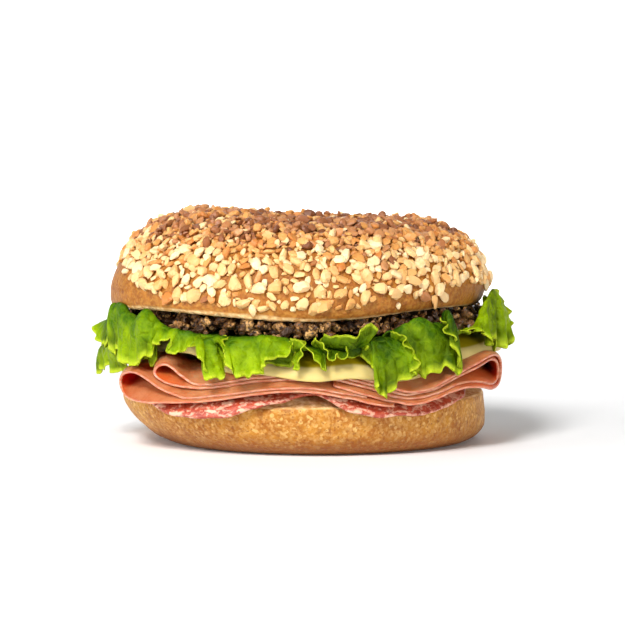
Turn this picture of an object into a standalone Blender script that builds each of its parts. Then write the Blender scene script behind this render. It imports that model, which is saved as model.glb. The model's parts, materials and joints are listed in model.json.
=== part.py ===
"""Bagel sandwich: a wholegrain ring roll topped with chopped nuts, cut across and filled.

From the table up: bottom half, four salami slices, four folded ham slices, one cheese slice, eight leaves
of frilly lettuce, a crumbly dark filling, and the top half with the nuts baked onto it.

Sizes are in millimetres and angles in degrees; new_object() turns them into metres. +X is to the right and
-Y faces the viewer. Angles round the sandwich start at +X and run anticlockwise seen from above, so the
front is at 270. Every filling lies on the one below it: its height is a function of its place on the bread,
and neighbours keep a fixed gap, so the soft layers nest as they do in the real sandwich.
"""

import math
import random

import bmesh
import bpy
from mathutils import Matrix, Vector, noise
from mathutils.geometry import interpolate_bezier

MM = 0.001
SMOOTH_ANGLE = math.radians(38)

# Bread
BREAD_RADIUS = 57.0
HOLE_RADIUS = 9.2
CREST_RADIUS = 33.0
BOTTOM_RADIUS = 54.6
BOTTOM_HEIGHT = 17.8
FOOT_INNER, FOOT_OUTER = 27.0, 42.0
FOOT_SHIFT = 4.5
BREAD_SEGMENTS = 32
CUT_HEIGHT = 40.7
TOP_HEIGHT = 27.0
TOP_LEAN = 0.08
SHOULDER_HEIGHT, HOLE_LIP_HEIGHT = 5.5, 3.0
OUTER_POWER, INNER_POWER = 2.35, 2.2
CUT_ARCH, CUT_TILT, CUT_FADE = 0.6, 0.6, 15.0

# How soft layers hang over the edge of the bread, and the waves in their edges
SAG_START, SAG_RATE = 44.0, 0.022
WAVE_HEIGHT, WAVE_LENGTH, WAVE_CREST_X = 3.3, 73.0, -6.0
WAVE_START, WAVE_FULL = 38.0, 58.0
SALAMI_WAVE_SHARE = 0.6

# Fillings, from the bottom up
SALAMI_THICKNESS, SALAMI_GAP = 1.1, 0.55
SALAMI_PLACES = ((-18.0, -21.5, 29.5), (19.5, -22.0, 29.5), (31.5, 9.5, 28.0), (-24.0, 20.0, 28.5))
SALAMI_LIES_ON = ((), (0, 2), (), (0, 2))
SALAMI_SEGMENTS = 24
HAM_BASE = 21.8
HAM_THICKNESS, HAM_PITCH = 0.85, 1.25
HAM_REACH, HAM_HALF_WIDTHS = 58.0, (60.5, 63.0)
HAM_ROWS = 4
FOLD_STEP, FOLD_STEP_GROWTH = 2.0, 0.16
CHEESE_REACH, CHEESE_THICKNESS, CHEESE_CENTRE_X = 57.5, 2.4, 0.5
CHEESE_ROUNDNESS = 1.45
CHEESE_CLEARANCE = 0.6
LEAF_THICKNESS = 0.7
LEAF_TIERS = (32.4, 35.4)
LEAF_START, LEAF_BEND_RADII, LEAF_BEND_LENGTH = 17.0, (55.4, 56.4), 4.2
LEAF_FLARE = 24.0
LEAF_SWELL = 0.8
LEAF_FLAT_SHARE = 0.55
LEAF_COLUMN_ANGLE = 4.5
RUFFLE_COUNT = 19
CRUMBLE_RADIUS, CRUMBLE_BOTTOM, CRUMBLE_TOP = 51.5, 37.2, 40.1
CRUMBLE_ROUGHNESS = 0.35
CRUMB_COUNT, CRUMB_RADIUS = 26, 1.9

# Chopped nuts on the crust
NUT_COUNT = 124
NUT_SPACING = 6.1
NUT_LENGTH = (4.0, 5.6)
NUT_LIFT = 0.35
NUT_POINTS = 7
NUT_LOWEST = 2.6
MOST_TRIES = 20000


# Heights shared by the layers


def smooth(low, high, value):
    """0 up to low, 1 from high on, and an S curve between them."""
    t = min(1.0, max(0.0, (value - low) / (high - low)))
    return t * t * (3 - 2 * t)


def sag(radius):
    """How far a layer hangs down at this distance from the middle."""
    return SAG_RATE * max(0.0, radius - SAG_START) ** 2


def wave(x, radius):
    """The slow rise and fall of the stacked edges along X, which fades out towards the middle."""
    phase = 2 * math.pi * (x - WAVE_CREST_X) / WAVE_LENGTH
    return WAVE_HEIGHT * 0.5 * (1 + math.cos(phase)) * smooth(WAVE_START, WAVE_FULL, radius)


def ham_floor(x, y):
    """Height of the surface that the ham lies on."""
    radius = math.hypot(x, y)
    return HAM_BASE - sag(radius) + wave(x, radius)


def cut_lift(x, y):
    """How far the top half's cut face arches above its lowest place, so that the filling shows."""
    angle = math.atan2(y, x)
    arches = CUT_ARCH * (1 - math.cos(4 * angle)) + CUT_TILT * (1 + math.cos(angle))
    return arches * (math.hypot(x, y) / BREAD_RADIUS) ** 2


# Making objects


def new_material(name, colour, roughness):
    """A plain Principled material."""
    material = bpy.data.materials.new(name)
    material.use_nodes = True
    shader = material.node_tree.nodes["Principled BSDF"]
    shader.inputs["Base Color"].default_value = (*colour, 1.0)
    shader.inputs["Roughness"].default_value = roughness
    shader.inputs["Metallic"].default_value = 0.0
    material.diffuse_color = (*colour, 1.0)
    return material


def new_object(name, mesh_data, material, base_height, sandwich):
    """Turns a bmesh in millimetres into an object whose own origin is base_height up the sandwich."""
    for vert in mesh_data.verts:
        vert.co = Vector((vert.co.x, vert.co.y, vert.co.z - base_height)) * MM
    mesh = bpy.data.meshes.new(name)
    mesh_data.to_mesh(mesh)
    mesh_data.free()
    mesh.materials.append(material)
    mesh.shade_smooth()
    mesh.set_sharp_from_angle(angle=SMOOTH_ANGLE)
    obj = bpy.data.objects.new(name, mesh)
    obj.location.z = base_height * MM
    obj.parent = sandwich
    bpy.context.scene.collection.objects.link(obj)
    return obj


def sheet_solid(lower, upper):
    """A closed slab between two grids of points, each cut into the same triangles."""
    shape = bmesh.new()
    rows, columns = len(lower), len(lower[0])
    low = [[shape.verts.new(point) for point in row] for row in lower]
    high = [[shape.verts.new(point) for point in row] for row in upper]
    for i in range(rows - 1):
        for j in range(columns - 1):
            for grid in (low, high):
                shape.faces.new((grid[i][j], grid[i + 1][j], grid[i + 1][j + 1]))
                shape.faces.new((grid[i][j], grid[i + 1][j + 1], grid[i][j + 1]))
    border = [(0, j) for j in range(columns)] + [(i, columns - 1) for i in range(1, rows)]
    border += [(rows - 1, j) for j in range(columns - 2, -1, -1)] + [(i, 0) for i in range(rows - 2, 0, -1)]
    for (i, j), (k, m) in zip(border, border[1:] + border[:1]):
        shape.faces.new((low[i][j], low[k][m], high[k][m], high[i][j]))
    bmesh.ops.recalc_face_normals(shape, faces=shape.faces)
    return shape


def disc_solid(centre, outline, rings, segments, lower, upper):
    """A closed slab with a free outline: outline(angle) is its radius, lower and upper give its heights."""
    shape = bmesh.new()
    layers = []
    for height in (lower, upper):
        middle = shape.verts.new((*centre, height(*centre)))
        circles = []
        for share in rings:
            circle = []
            for k in range(segments):
                angle = 2 * math.pi * k / segments
                x = centre[0] + share * outline(angle) * math.cos(angle)
                y = centre[1] + share * outline(angle) * math.sin(angle)
                circle.append(shape.verts.new((x, y, height(x, y))))
            circles.append(circle)
        for k in range(segments):
            n = (k + 1) % segments
            shape.faces.new((middle, circles[0][k], circles[0][n]))
            for inner, outer in zip(circles, circles[1:]):
                shape.faces.new((inner[k], outer[k], outer[n]))
                shape.faces.new((inner[k], outer[n], inner[n]))
        layers.append(circles[-1])
    for k in range(segments):
        n = (k + 1) % segments
        shape.faces.new((layers[0][k], layers[0][n], layers[1][n], layers[1][k]))
    bmesh.ops.recalc_face_normals(shape, faces=shape.faces)
    return shape


def turned(profile, segments):
    """Spins a closed profile of (radius, height) points round the upright axis."""
    shape = bmesh.new()
    verts = [shape.verts.new((radius, 0, height)) for radius, height in profile]
    edges = [shape.edges.new(pair) for pair in zip(verts, verts[1:] + verts[:1])]
    bmesh.ops.spin(
        shape,
        geom=verts + edges,
        cent=(0, 0, 0),
        axis=(0, 0, 1),
        angle=2 * math.pi,
        steps=segments,
        use_merge=True,
    )
    bmesh.ops.remove_doubles(shape, verts=shape.verts, dist=1e-4)
    bmesh.ops.recalc_face_normals(shape, faces=shape.faces)
    return shape


def quarter(centre, width, height, power, steps, rising):
    """Points of a quarter superellipse from its side to its top, or from its top to its side."""
    points = []
    for k in range(1, steps + 1):
        turn = math.pi / 2 * k / steps
        across, up = math.cos(turn), math.sin(turn)
        if not rising:
            across, up = up, across
        points.append((centre[0] + width * across ** (2 / power), centre[1] + height * up ** (2 / power)))
    return points


def fuse(base, pieces_name, pieces):
    """Joins a collection's objects to base with one Boolean, applies it and removes the objects."""
    collection = bpy.data.collections.new(pieces_name)
    bpy.context.scene.collection.children.link(collection)
    for piece in pieces:
        bpy.context.scene.collection.objects.unlink(piece)
        collection.objects.link(piece)
    union = base.modifiers.new("fuse", "BOOLEAN")
    union.operation = "UNION"
    union.solver = "EXACT"
    union.operand_type = "COLLECTION"
    union.collection = collection
    bpy.context.view_layer.update()
    graph = bpy.context.evaluated_depsgraph_get()
    mesh = bpy.data.meshes.new_from_object(base.evaluated_get(graph))
    base.modifiers.clear()
    base.data = mesh
    for piece in pieces:
        bpy.data.objects.remove(piece)
    bpy.data.collections.remove(collection)
    keep_largest_shell(mesh)
    mesh.set_sharp_from_angle(angle=SMOOTH_ANGLE)


def keep_largest_shell(mesh):
    """Drops sealed hollows and loose scraps that a union leaves, keeping the shell with the most faces."""
    shape = bmesh.new()
    shape.from_mesh(mesh)
    unseen, shells = set(shape.faces), []
    while unseen:
        front = [unseen.pop()]
        shell = list(front)
        while front:
            face = front.pop()
            near = {other for edge in face.edges for other in edge.link_faces} & unseen
            unseen -= near
            front += near
            shell += near
        shells.append(shell)
    shells.sort(key=len)
    for shell in shells[:-1]:
        bmesh.ops.delete(shape, geom=shell, context="FACES")
    bmesh.ops.dissolve_degenerate(shape, dist=1e-6, edges=shape.edges)
    bmesh.ops.triangulate(shape, faces=shape.faces)
    shape.to_mesh(mesh)
    shape.free()


def lump(rng, length, width, depth, points):
    """A small angular piece: the hull of a few points near the surface of a flattened ball."""
    shape = bmesh.new()
    for k in range(points):
        up = 1 - 2 * (k + 0.5) / points
        turn = k * math.pi * (3 - math.sqrt(5)) + rng.uniform(-0.35, 0.35)
        around = math.sqrt(1 - up * up)
        place = Vector((around * math.cos(turn), around * math.sin(turn), up)) * rng.uniform(0.8, 1.1)
        shape.verts.new((place.x * length / 2, place.y * width / 2, place.z * depth / 2))
    hull = bmesh.ops.convex_hull(shape, input=shape.verts)
    bmesh.ops.delete(shape, geom=hull["geom_interior"], context="VERTS")
    bmesh.ops.recalc_face_normals(shape, faces=shape.faces)
    return shape


# Bread


def bottom_bread(material, sandwich):
    """Lower half of the roll: flat foot, full sides and a cut face that dips at the rim."""
    cut_face = [(r, BOTTOM_HEIGHT - sag(r)) for r in (53.0, 49.5, 45.0, 16.0)]
    side = [(47.5, 1.3), (51.2, 4.2), (53.6, 8.6), (BOTTOM_RADIUS, 13.0), (54.3, 14.8)]
    hole = [(HOLE_RADIUS + 1.6, BOTTOM_HEIGHT - 0.6), (HOLE_RADIUS, 12.0), (HOLE_RADIUS + 0.4, 6.0)]
    foot = [(13.5, 2.4), (19.0, 0.6), (FOOT_INNER, 0.0), (FOOT_OUTER, 0.0)]
    shape = turned(side + cut_face + hole + foot, BREAD_SEGMENTS)
    for vert in shape.verts:
        low = 1 - smooth(0.0, 14.0, vert.co.z)
        vert.co.x += FOOT_SHIFT * low * smooth(16.0, 40.0, math.hypot(vert.co.x, vert.co.y))
    return new_object("bread_bottom", shape, material, 0.0, sandwich)


def top_outline():
    """The top half's outer face from its lower edge over the crest into the hole, from the cut face up."""
    outer_width, outer_height = BREAD_RADIUS - CREST_RADIUS, TOP_HEIGHT - SHOULDER_HEIGHT
    inner_width, inner_height = HOLE_RADIUS - CREST_RADIUS, TOP_HEIGHT - HOLE_LIP_HEIGHT
    outer = quarter((CREST_RADIUS, SHOULDER_HEIGHT), outer_width, outer_height, OUTER_POWER, 8, True)
    inner = quarter((CREST_RADIUS, HOLE_LIP_HEIGHT), inner_width, inner_height, INNER_POWER, 6, False)
    lower_edge = [(BREAD_RADIUS - 1.6, 0.0), (BREAD_RADIUS - 0.4, 2.2), (BREAD_RADIUS, SHOULDER_HEIGHT)]
    return lower_edge + outer + inner


def top_bread(material, sandwich):
    """Upper half of the roll with the chopped nuts fused to its crust."""
    underside = [(HOLE_RADIUS + 0.8, 0.0), (22.0, 0.0), (36.0, 0.0), (47.0, 0.0)]
    shape = turned(top_outline() + underside, BREAD_SEGMENTS)
    for vert in shape.verts:
        low = 1 - smooth(0.0, CUT_FADE, vert.co.z)
        vert.co.x += TOP_LEAN * (vert.co.z - TOP_HEIGHT / 3)
        vert.co.z += CUT_HEIGHT + cut_lift(vert.co.x, vert.co.y) * low
    bread = new_object("bread_top", shape, material, CUT_HEIGHT, sandwich)
    fuse(bread, "nuts", nuts_on_crust(material, sandwich))
    return bread


def crust_point(share, angle):
    """Place and outward direction on the top half's crust, with share running from lower edge to hole."""
    outline = top_outline()
    step = share * (len(outline) - 1)
    k = min(int(step), len(outline) - 2)
    (r0, z0), (r1, z1) = outline[k], outline[k + 1]
    radius = r0 + (r1 - r0) * (step - k)
    height = z0 + (z1 - z0) * (step - k)
    slope = Vector((z1 - z0, 0, r0 - r1)).normalized()
    across = Vector((math.cos(angle), math.sin(angle), 0))
    lean = TOP_LEAN * (height - TOP_HEIGHT / 3)
    place = across * radius + Vector((lean, 0, CUT_HEIGHT + height))
    return place, across * slope.x + Vector((0, 0, slope.z)), radius, height


def nut_limit(angle):
    """How low the nuts reach on the side: nearly to the edge in front, and higher at both ends."""
    return 9.5 + 4.0 * math.sin(angle) + 2.0 * math.cos(3 * angle + 0.5)


def nuts_on_crust(material, sandwich):
    """Chopped nuts spread over the crust at a fixed spacing, sparser low on the sides."""
    rng = random.Random(11)
    places, nuts, tries = [], [], 0
    while len(nuts) < NUT_COUNT and tries < MOST_TRIES:
        tries += 1
        share, angle = rng.uniform(0.12, 0.92), rng.uniform(0, 2 * math.pi)
        place, out, radius, height = crust_point(share, angle)
        if rng.random() > radius / BREAD_RADIUS or height < max(NUT_LOWEST, nut_limit(angle)):
            continue
        if any((place - other).length < NUT_SPACING for other in places):
            continue
        places.append(place)
        length = rng.uniform(*NUT_LENGTH)
        width, depth = length * rng.uniform(0.55, 0.85), length * rng.uniform(0.5, 0.7)
        shape = lump(rng, length, width, depth, NUT_POINTS)
        spin = Matrix.Rotation(rng.uniform(0, 2 * math.pi), 3, "Z")
        turn = out.to_track_quat("Z", "Y").to_matrix() @ spin
        for vert in shape.verts:
            vert.co = place + out * NUT_LIFT + turn @ vert.co
        nuts.append(new_object(f"nut_{len(nuts)}", shape, material, CUT_HEIGHT, sandwich))
    return nuts


# Salami


def salami_support(index, x, y):
    """How far slice number index is lifted here by the slices that it lies on."""
    lift = 0.0
    for under in SALAMI_LIES_ON[index]:
        centre_x, centre_y, slice_radius = SALAMI_PLACES[under]
        distance = math.hypot(x - centre_x, y - centre_y) - slice_radius
        share = 1 - smooth(2.5, 10.0, distance)
        lift = max(lift, share * (SALAMI_THICKNESS + SALAMI_GAP))
    return lift


def salami_slice(index, material, sandwich):
    """One round slice that lies on the bread or on its neighbours and hangs over the rim."""
    centre_x, centre_y, slice_radius = SALAMI_PLACES[index]

    def lower(x, y):
        radius = math.hypot(x, y)
        overhang = 0.1 * max(0.0, radius - BOTTOM_RADIUS) ** 2
        droop = (0.5 + 0.5 * smooth(0, 35, -y)) * (sag(radius) + overhang)
        lift = salami_support(index, x, y) + SALAMI_WAVE_SHARE * wave(x, radius)
        return BOTTOM_HEIGHT + 1.5 * SALAMI_GAP - droop + lift

    def outline(angle):
        return slice_radius * (1 + 0.01 * math.sin(3 * angle + index) + 0.006 * math.sin(7 * angle))

    shape = disc_solid(
        (centre_x, centre_y),
        outline,
        (0.45, 0.76, 1.0),
        SALAMI_SEGMENTS,
        lower,
        lambda x, y: lower(x, y) + SALAMI_THICKNESS,
    )
    return new_object(f"salami_{index + 1}", shape, material, BOTTOM_HEIGHT, sandwich)


# Ham


def level(number):
    """Height of the middle of ham layer number, above the ham's floor."""
    return 0.5 + HAM_PITCH * number


# Each slice is a path in the X-height plane: (x, layer, extra height of the loose fold). The fold's extra
# height is full at the front and back edges and less in the middle, where the roll presses on it.
HAM_LEFT_LOW = (
    (18, 0, 0.0), (0, 0, 0.0), (-18, 0, 0.0), (-32, 0, -0.1), (-41, 0, -0.6), (-47.5, 0, -0.6), (-52, 0, 0.3),
    (-54.4, 0.3, 2.2), (-55.0, 0.5, 4.2), (-54.0, 0.8, 6.2), (-51, 1, 7.6), (-47.5, 1, 7.5), (-44, 1, 5.6),
    (-40.5, 1, 3.2), (-36.5, 1, 1.2), (-32, 1, 0.1), (-12, 1, 0.0), (9, 1, 0.0),
)
HAM_LEFT_HIGH = (
    (-1.5, 2, 0.0), (-12, 2, 0.0), (-25, 2, 0.2), (-32, 2, 0.8), (-37.2, 2, 2.1), (-40.7, 2, 3.7),
    (-42.6, 2.4, 5.2), (-41.8, 2.8, 6.7), (-39.6, 3, 7.1), (-37.6, 3, 5.9), (-34.6, 3, 3.0), (-32, 3, 1.0),
    (-28, 3, 0.2), (-20, 3, 0.0), (-6.5, 3, 0.0),
)
HAM_RIGHT_LOW = (
    (1.5, 2.1, 0.1), (8, 2.2, 0.5), (13, 1.9, 0.5), (19, 1.2, -0.2), (28, 1, -0.6), (33, 1, -0.4),
    (39, 1, 0.4), (45, 1, 1.5), (51, 1, 1.7), (56, 1, 1.1), (58.6, 1.2, 1.9), (59.7, 1.6, 4.6), (59, 2, 6.9),
    (57.3, 2, 8.3), (55, 2, 8.5), (51.6, 2, 7.1), (47.2, 2, 4.5), (41.5, 2, 2.6), (36, 2, 1.0), (31, 2, -0.2),
    (27.5, 2, -0.2),
)
HAM_RIGHT_HIGH = (
    (21.5, 0, -0.2), (28, 0, -0.6), (33, 0, -0.4), (39, 0, 0.4), (45, 0, 1.5), (51, 0, 1.7), (56, 0, 1.1),
    (59.6, 0.2, 2.0), (61.0, 1.2, 5.0), (60.5, 2.2, 7.6), (58.2, 2.8, 9.1), (55, 3, 9.0), (51, 3, 7.2),
    (46.5, 3, 4.5), (41, 3, 2.7), (36, 3, 1.0), (31, 3, -0.2), (26, 3, -0.2), (20, 3, 0.1), (13, 3.4, 0.5),
    (6, 3.3, 0.3), (-3.5, 3, 0.0),
)


def smooth_path(points, count):
    """Points on a smooth curve through the given ones, closer together near the fold at its far end in X."""
    fold_x = max((point[0] for point in points), key=abs)
    fine = []
    for k in range(len(points) - 1):
        before, start = Vector(points[max(k - 1, 0)]), Vector(points[k])
        end, after = Vector(points[k + 1]), Vector(points[min(k + 2, len(points) - 1)])
        handle_a, handle_b = start + (end - before) / 6, end - (after - start) / 6
        fine += interpolate_bezier(start, handle_a, handle_b, end, 13)[:-1]
    fine.append(Vector(points[-1]))
    lengths = [0.0]
    for a, b in zip(fine, fine[1:]):
        lengths.append(lengths[-1] + (b - a).length / (FOLD_STEP + FOLD_STEP_GROWTH * abs(b.x - fold_x)))
    picked, k = [], 0
    for n in range(count):
        target = lengths[-1] * n / (count - 1)
        while k < len(fine) - 2 and lengths[k + 1] < target:
            k += 1
        share = (target - lengths[k]) / max(lengths[k + 1] - lengths[k], 1e-9)
        picked.append(fine[k].lerp(fine[k + 1], share))
    return picked


def ham_edge(x, front):
    """Y of a ham slice's front or back edge at this X: a wide oval outline."""
    half_width = HAM_HALF_WIDTHS[0] if x < 0 else HAM_HALF_WIDTHS[1]
    half = HAM_REACH * math.sqrt(1 - (x / half_width) ** 2)
    return -half + 0.6 * math.sin(0.16 * x) if front else 0.93 * half - 0.7 * math.sin(0.13 * x + 1)


def ham_point(x, height, fold, across, tuck):
    """A point of a slice: across runs from 0 at the front edge to 1 at the back edge."""
    front, back = ham_edge(x, True) + tuck, ham_edge(x, False) - tuck
    y = front + (back - front) * across
    middle, half = (front + back) / 2, (back - front) / 2
    loose = 0.45 + 0.55 * smooth(0.45, 1.0, abs(y - middle) / half)
    return (x, y, ham_floor(x, y) + height + fold * loose)


def ham_slice(name, path, tuck, count, material, sandwich):
    """One folded slice: its path gets the slice's thickness and runs from the front edge to the back."""
    points = smooth_path([(x, level(number), fold) for x, number, fold in path], count)
    steps = range(-HAM_ROWS, HAM_ROWS + 1)
    across = [0.5 + math.copysign(0.5 * (1 - (1 - abs(k) / HAM_ROWS) ** 1.7), k) for k in steps]
    lower, upper = [], []
    for k, point in enumerate(points):
        before, after = points[max(k - 1, 0)], points[min(k + 1, count - 1)]
        along = Vector((after.x - before.x, after.y + after.z - before.y - before.z)).normalized()
        out = Vector((along.y, -along.x))
        for rows, offset in ((lower, -HAM_THICKNESS / 2), (upper, HAM_THICKNESS / 2)):
            x, height = point.x - out.x * offset, point.y - out.y * offset
            rows.append([ham_point(x, height, point.z, t, tuck) for t in across])
    return new_object(name, sheet_solid(lower, upper), material, HAM_BASE, sandwich)


# Cheese


def cheese_floor(x, y):
    """Height of the surface that the cheese lies on: the ham's layers and, at both ends, its folds."""
    left_fold = 4.2 + 1.3 * smooth(16, 36, abs(y))
    over_left_fold = left_fold * (1 - smooth(-34, -20, x)) * smooth(-60, -47, x)
    over_ends = 1.2 * math.exp(-(((x - 10) / 11) ** 2))
    over_right_fold = 4.2 * smooth(28, 46, x)
    corner_droop = 5.0 * (1 - smooth(-62, -54, x))
    above_ham = level(3) + HAM_THICKNESS / 2 + CHEESE_CLEARANCE + over_left_fold + over_ends + over_right_fold
    return ham_floor(x, y) + above_ham - corner_droop


def cheese_slice(material, sandwich):
    """A square slice with soft corners that point to the front, the back and both sides."""

    def outline(angle):
        across = abs(math.cos(angle)) ** CHEESE_ROUNDNESS + abs(math.sin(angle)) ** CHEESE_ROUNDNESS
        return CHEESE_REACH / across ** (1 / CHEESE_ROUNDNESS)

    shape = disc_solid(
        (CHEESE_CENTRE_X, -0.5),
        outline,
        (0.3, 0.55, 0.75, 0.88, 1.0),
        32,
        cheese_floor,
        lambda x, y: cheese_floor(x, y) + CHEESE_THICKNESS,
    )
    return new_object("cheese", shape, material, HAM_BASE, sandwich)


# Lettuce


# Name, tier, first and last angle, length past the bend, bend at the first and the last angle, and how
# high the leaf arches beside the bread. A bend of 90 hangs straight down and a negative one stands up.
LEAVES = (
    ("lettuce_front_low", 0, 262, 291, 6.5, 78, 78, 0.0),
    ("lettuce_back_low", 0, 62, 116, 9.0, 70, 74, 0.0),
    ("lettuce_left", 1, 169, 234, 15.0, 92, 76, 4.0),
    ("lettuce_front_left", 1, 237, 271, 8.8, 84, 74, 1.0),
    ("lettuce_front_right", 1, 275, 322, 13.0, 60, 86, 1.2),
    ("lettuce_right", 1, 325, 368, 10.0, -62, 50, 0.6),
    ("lettuce_back_right", 1, 11, 72, 11.0, 58, 80, 1.0),
    ("lettuce_back_left", 1, 103, 166, 12.0, 78, 70, 1.5),
)


def ruffle(angle):
    """How far the leaves' edge flares outwards at this angle, from 0 to 1, with frills of uneven width."""
    turn = math.radians(angle)
    return 0.5 + 0.5 * math.sin(RUFFLE_COUNT * turn + 1.1 * math.sin(5 * turn) + 0.7 * math.sin(2 * turn + 1))


def leaf_point(tier, angle, share, reach, bend, arch):
    """A point and the outward direction of a leaf: flat between the layers, then bending at the rim."""
    turn = math.radians(angle)
    across = Vector((math.cos(turn), math.sin(turn), 0))
    bend_radius = LEAF_BEND_RADII[tier]
    flat = min(share / LEAF_FLAT_SHARE, 1.0)
    radius = LEAF_START + (bend_radius - LEAF_START) * flat
    swell = LEAF_SWELL * math.sin(radius / 6.0) * math.sin(4 * turn + radius / 14) * (1 - flat**4)
    height = LEAF_TIERS[tier] + swell + arch * smooth(53.2, 57.2, radius)
    if share <= LEAF_FLAT_SHARE:
        return across * radius + Vector((0, 0, height)), Vector((0, 0, 1))
    length = reach * (share - LEAF_FLAT_SHARE) / (1 - LEAF_FLAT_SHARE)
    full_bend = math.radians(bend - LEAF_FLARE * ruffle(angle))
    steps = 10
    for k in range(steps):
        part = full_bend * smooth(0, LEAF_BEND_LENGTH, length * (k + 0.5) / steps)
        radius += math.cos(part) * length / steps
        height -= math.sin(part) * length / steps
    slope = full_bend * smooth(0, LEAF_BEND_LENGTH, length)
    out = across * math.sin(slope) + Vector((0, 0, math.cos(slope)))
    return across * radius + Vector((0, 0, height)), out


def leaf(name, tier, first, last, reach, first_bend, last_bend, arch, material, sandwich):
    """One lettuce leaf: a thin sheet that fans out from the middle and ruffles past the bread."""
    columns = max(8, round((last - first) / LEAF_COLUMN_ANGLE))
    shares = (0.0, 0.25, 0.5, 0.6, 0.7, 0.84, 1.0)
    lower, upper = [], []
    for k in range(columns + 1):
        along = k / columns
        angle = first + (last - first) * along
        bend = first_bend + (last_bend - first_bend) * smooth(0.3, 1.0, along)
        length = reach * (1 - 0.35 * abs(2 * along - 1) ** 4 + 0.16 * math.sin(2.3 * k + first))
        points = [leaf_point(tier, angle, share, length, bend, arch) for share in shares]
        lower.append([place - out * LEAF_THICKNESS / 2 for place, out in points])
        upper.append([place + out * LEAF_THICKNESS / 2 for place, out in points])
    return new_object(name, sheet_solid(lower, upper), material, LEAF_TIERS[0], sandwich)


# Crumbly filling


def crumble(material, sandwich):
    """The dark crumbly filling: a rough disc with the crumbs that show fused round its rim."""

    def outline(angle):
        return CRUMBLE_RADIUS * (1 + 0.015 * math.sin(4 * angle + 2) + 0.012 * math.sin(9 * angle))

    def roughness(x, y):
        return CRUMBLE_ROUGHNESS * noise.noise(Vector((x, y, 0)) * 0.3)

    shape = disc_solid(
        (0.0, 0.0),
        outline,
        (0.35, 0.75, 1.0),
        30,
        lambda x, y: CRUMBLE_BOTTOM + 0.2 + roughness(x, y),
        lambda x, y: CRUMBLE_TOP - 0.3 + roughness(y, x),
    )
    core = new_object("crumble", shape, material, CRUMBLE_BOTTOM, sandwich)
    rng = random.Random(5)
    crumbs = []
    for k in range(CRUMB_COUNT):
        angle = 2 * math.pi * (k + rng.uniform(-0.3, 0.3)) / CRUMB_COUNT
        radius = outline(angle) + rng.uniform(0.3, 1.3)
        height = rng.uniform(CRUMBLE_BOTTOM + 1.6, CRUMBLE_TOP - 1.3)
        shape = bmesh.new()
        bmesh.ops.create_icosphere(shape, subdivisions=1, radius=1)
        size = CRUMB_RADIUS * rng.uniform(0.75, 1.0)
        for vert in shape.verts:
            stretched = vert.co * size * rng.uniform(0.85, 1.15)
            vert.co = stretched + Vector((radius * math.cos(angle), radius * math.sin(angle), height))
        crumbs.append(new_object(f"crumb_{k}", shape, material, CRUMBLE_BOTTOM, sandwich))
    fuse(core, "crumbs", crumbs)
    return core


# The whole


def centre_on_table(sandwich):
    """Moves the parent empty so that the origin is under the middle of the whole, on the table."""
    bpy.context.view_layer.update()
    corners = [
        child.matrix_world @ Vector(corner) for child in sandwich.children for corner in child.bound_box
    ]
    low = [min(corner[axis] for corner in corners) for axis in range(3)]
    high = [max(corner[axis] for corner in corners) for axis in range(3)]
    sandwich.location = (-(low[0] + high[0]) / 2, -(low[1] + high[1]) / 2, -low[2])


def main():
    """Builds every piece under one empty."""
    for obj in list(bpy.data.objects):
        bpy.data.objects.remove(obj)
    sandwich = bpy.data.objects.new("sandwich", None)
    bpy.context.scene.collection.objects.link(sandwich)

    crust = new_material("crust", (0.55, 0.33, 0.13), 0.6)
    nut_crust = new_material("nut_crust", (0.66, 0.42, 0.19), 0.55)
    salami = new_material("salami", (0.60, 0.13, 0.11), 0.4)
    ham = new_material("ham", (0.80, 0.38, 0.28), 0.4)
    cheese = new_material("cheese", (0.90, 0.82, 0.45), 0.4)
    lettuce = new_material("lettuce", (0.30, 0.52, 0.05), 0.45)
    filling = new_material("filling", (0.13, 0.06, 0.03), 0.5)

    bottom_bread(crust, sandwich)
    for index in range(len(SALAMI_PLACES)):
        salami_slice(index, salami, sandwich)
    ham_slice("ham_left_low", HAM_LEFT_LOW, 0.0, 21, ham, sandwich)
    ham_slice("ham_left_high", HAM_LEFT_HIGH, 1.4, 17, ham, sandwich)
    ham_slice("ham_right_low", HAM_RIGHT_LOW, 0.6, 21, ham, sandwich)
    ham_slice("ham_right_high", HAM_RIGHT_HIGH, 0.2, 22, ham, sandwich)
    cheese_slice(cheese, sandwich)
    for leaf_sizes in LEAVES:
        leaf(*leaf_sizes, lettuce, sandwich)
    crumble(filling, sandwich)
    top_bread(nut_crust, sandwich)
    centre_on_table(sandwich)


main()
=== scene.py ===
"""Bagel sandwich: the finished surfaces of the roll, its chopped nuts and every filling.

Each class below makes one kind of food from surfaces worked out with numpy, in millimetres from the roll's
own upright axis and the table. Table turns them into metres when it puts a piece in place. +X is to the
right and -Y faces the viewer. The soft layers share their heights through Stack, so that they nest.
"""

import json
import logging
import math
from collections.abc import Callable
from dataclasses import dataclass, field
from enum import Enum
from functools import partial

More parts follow.
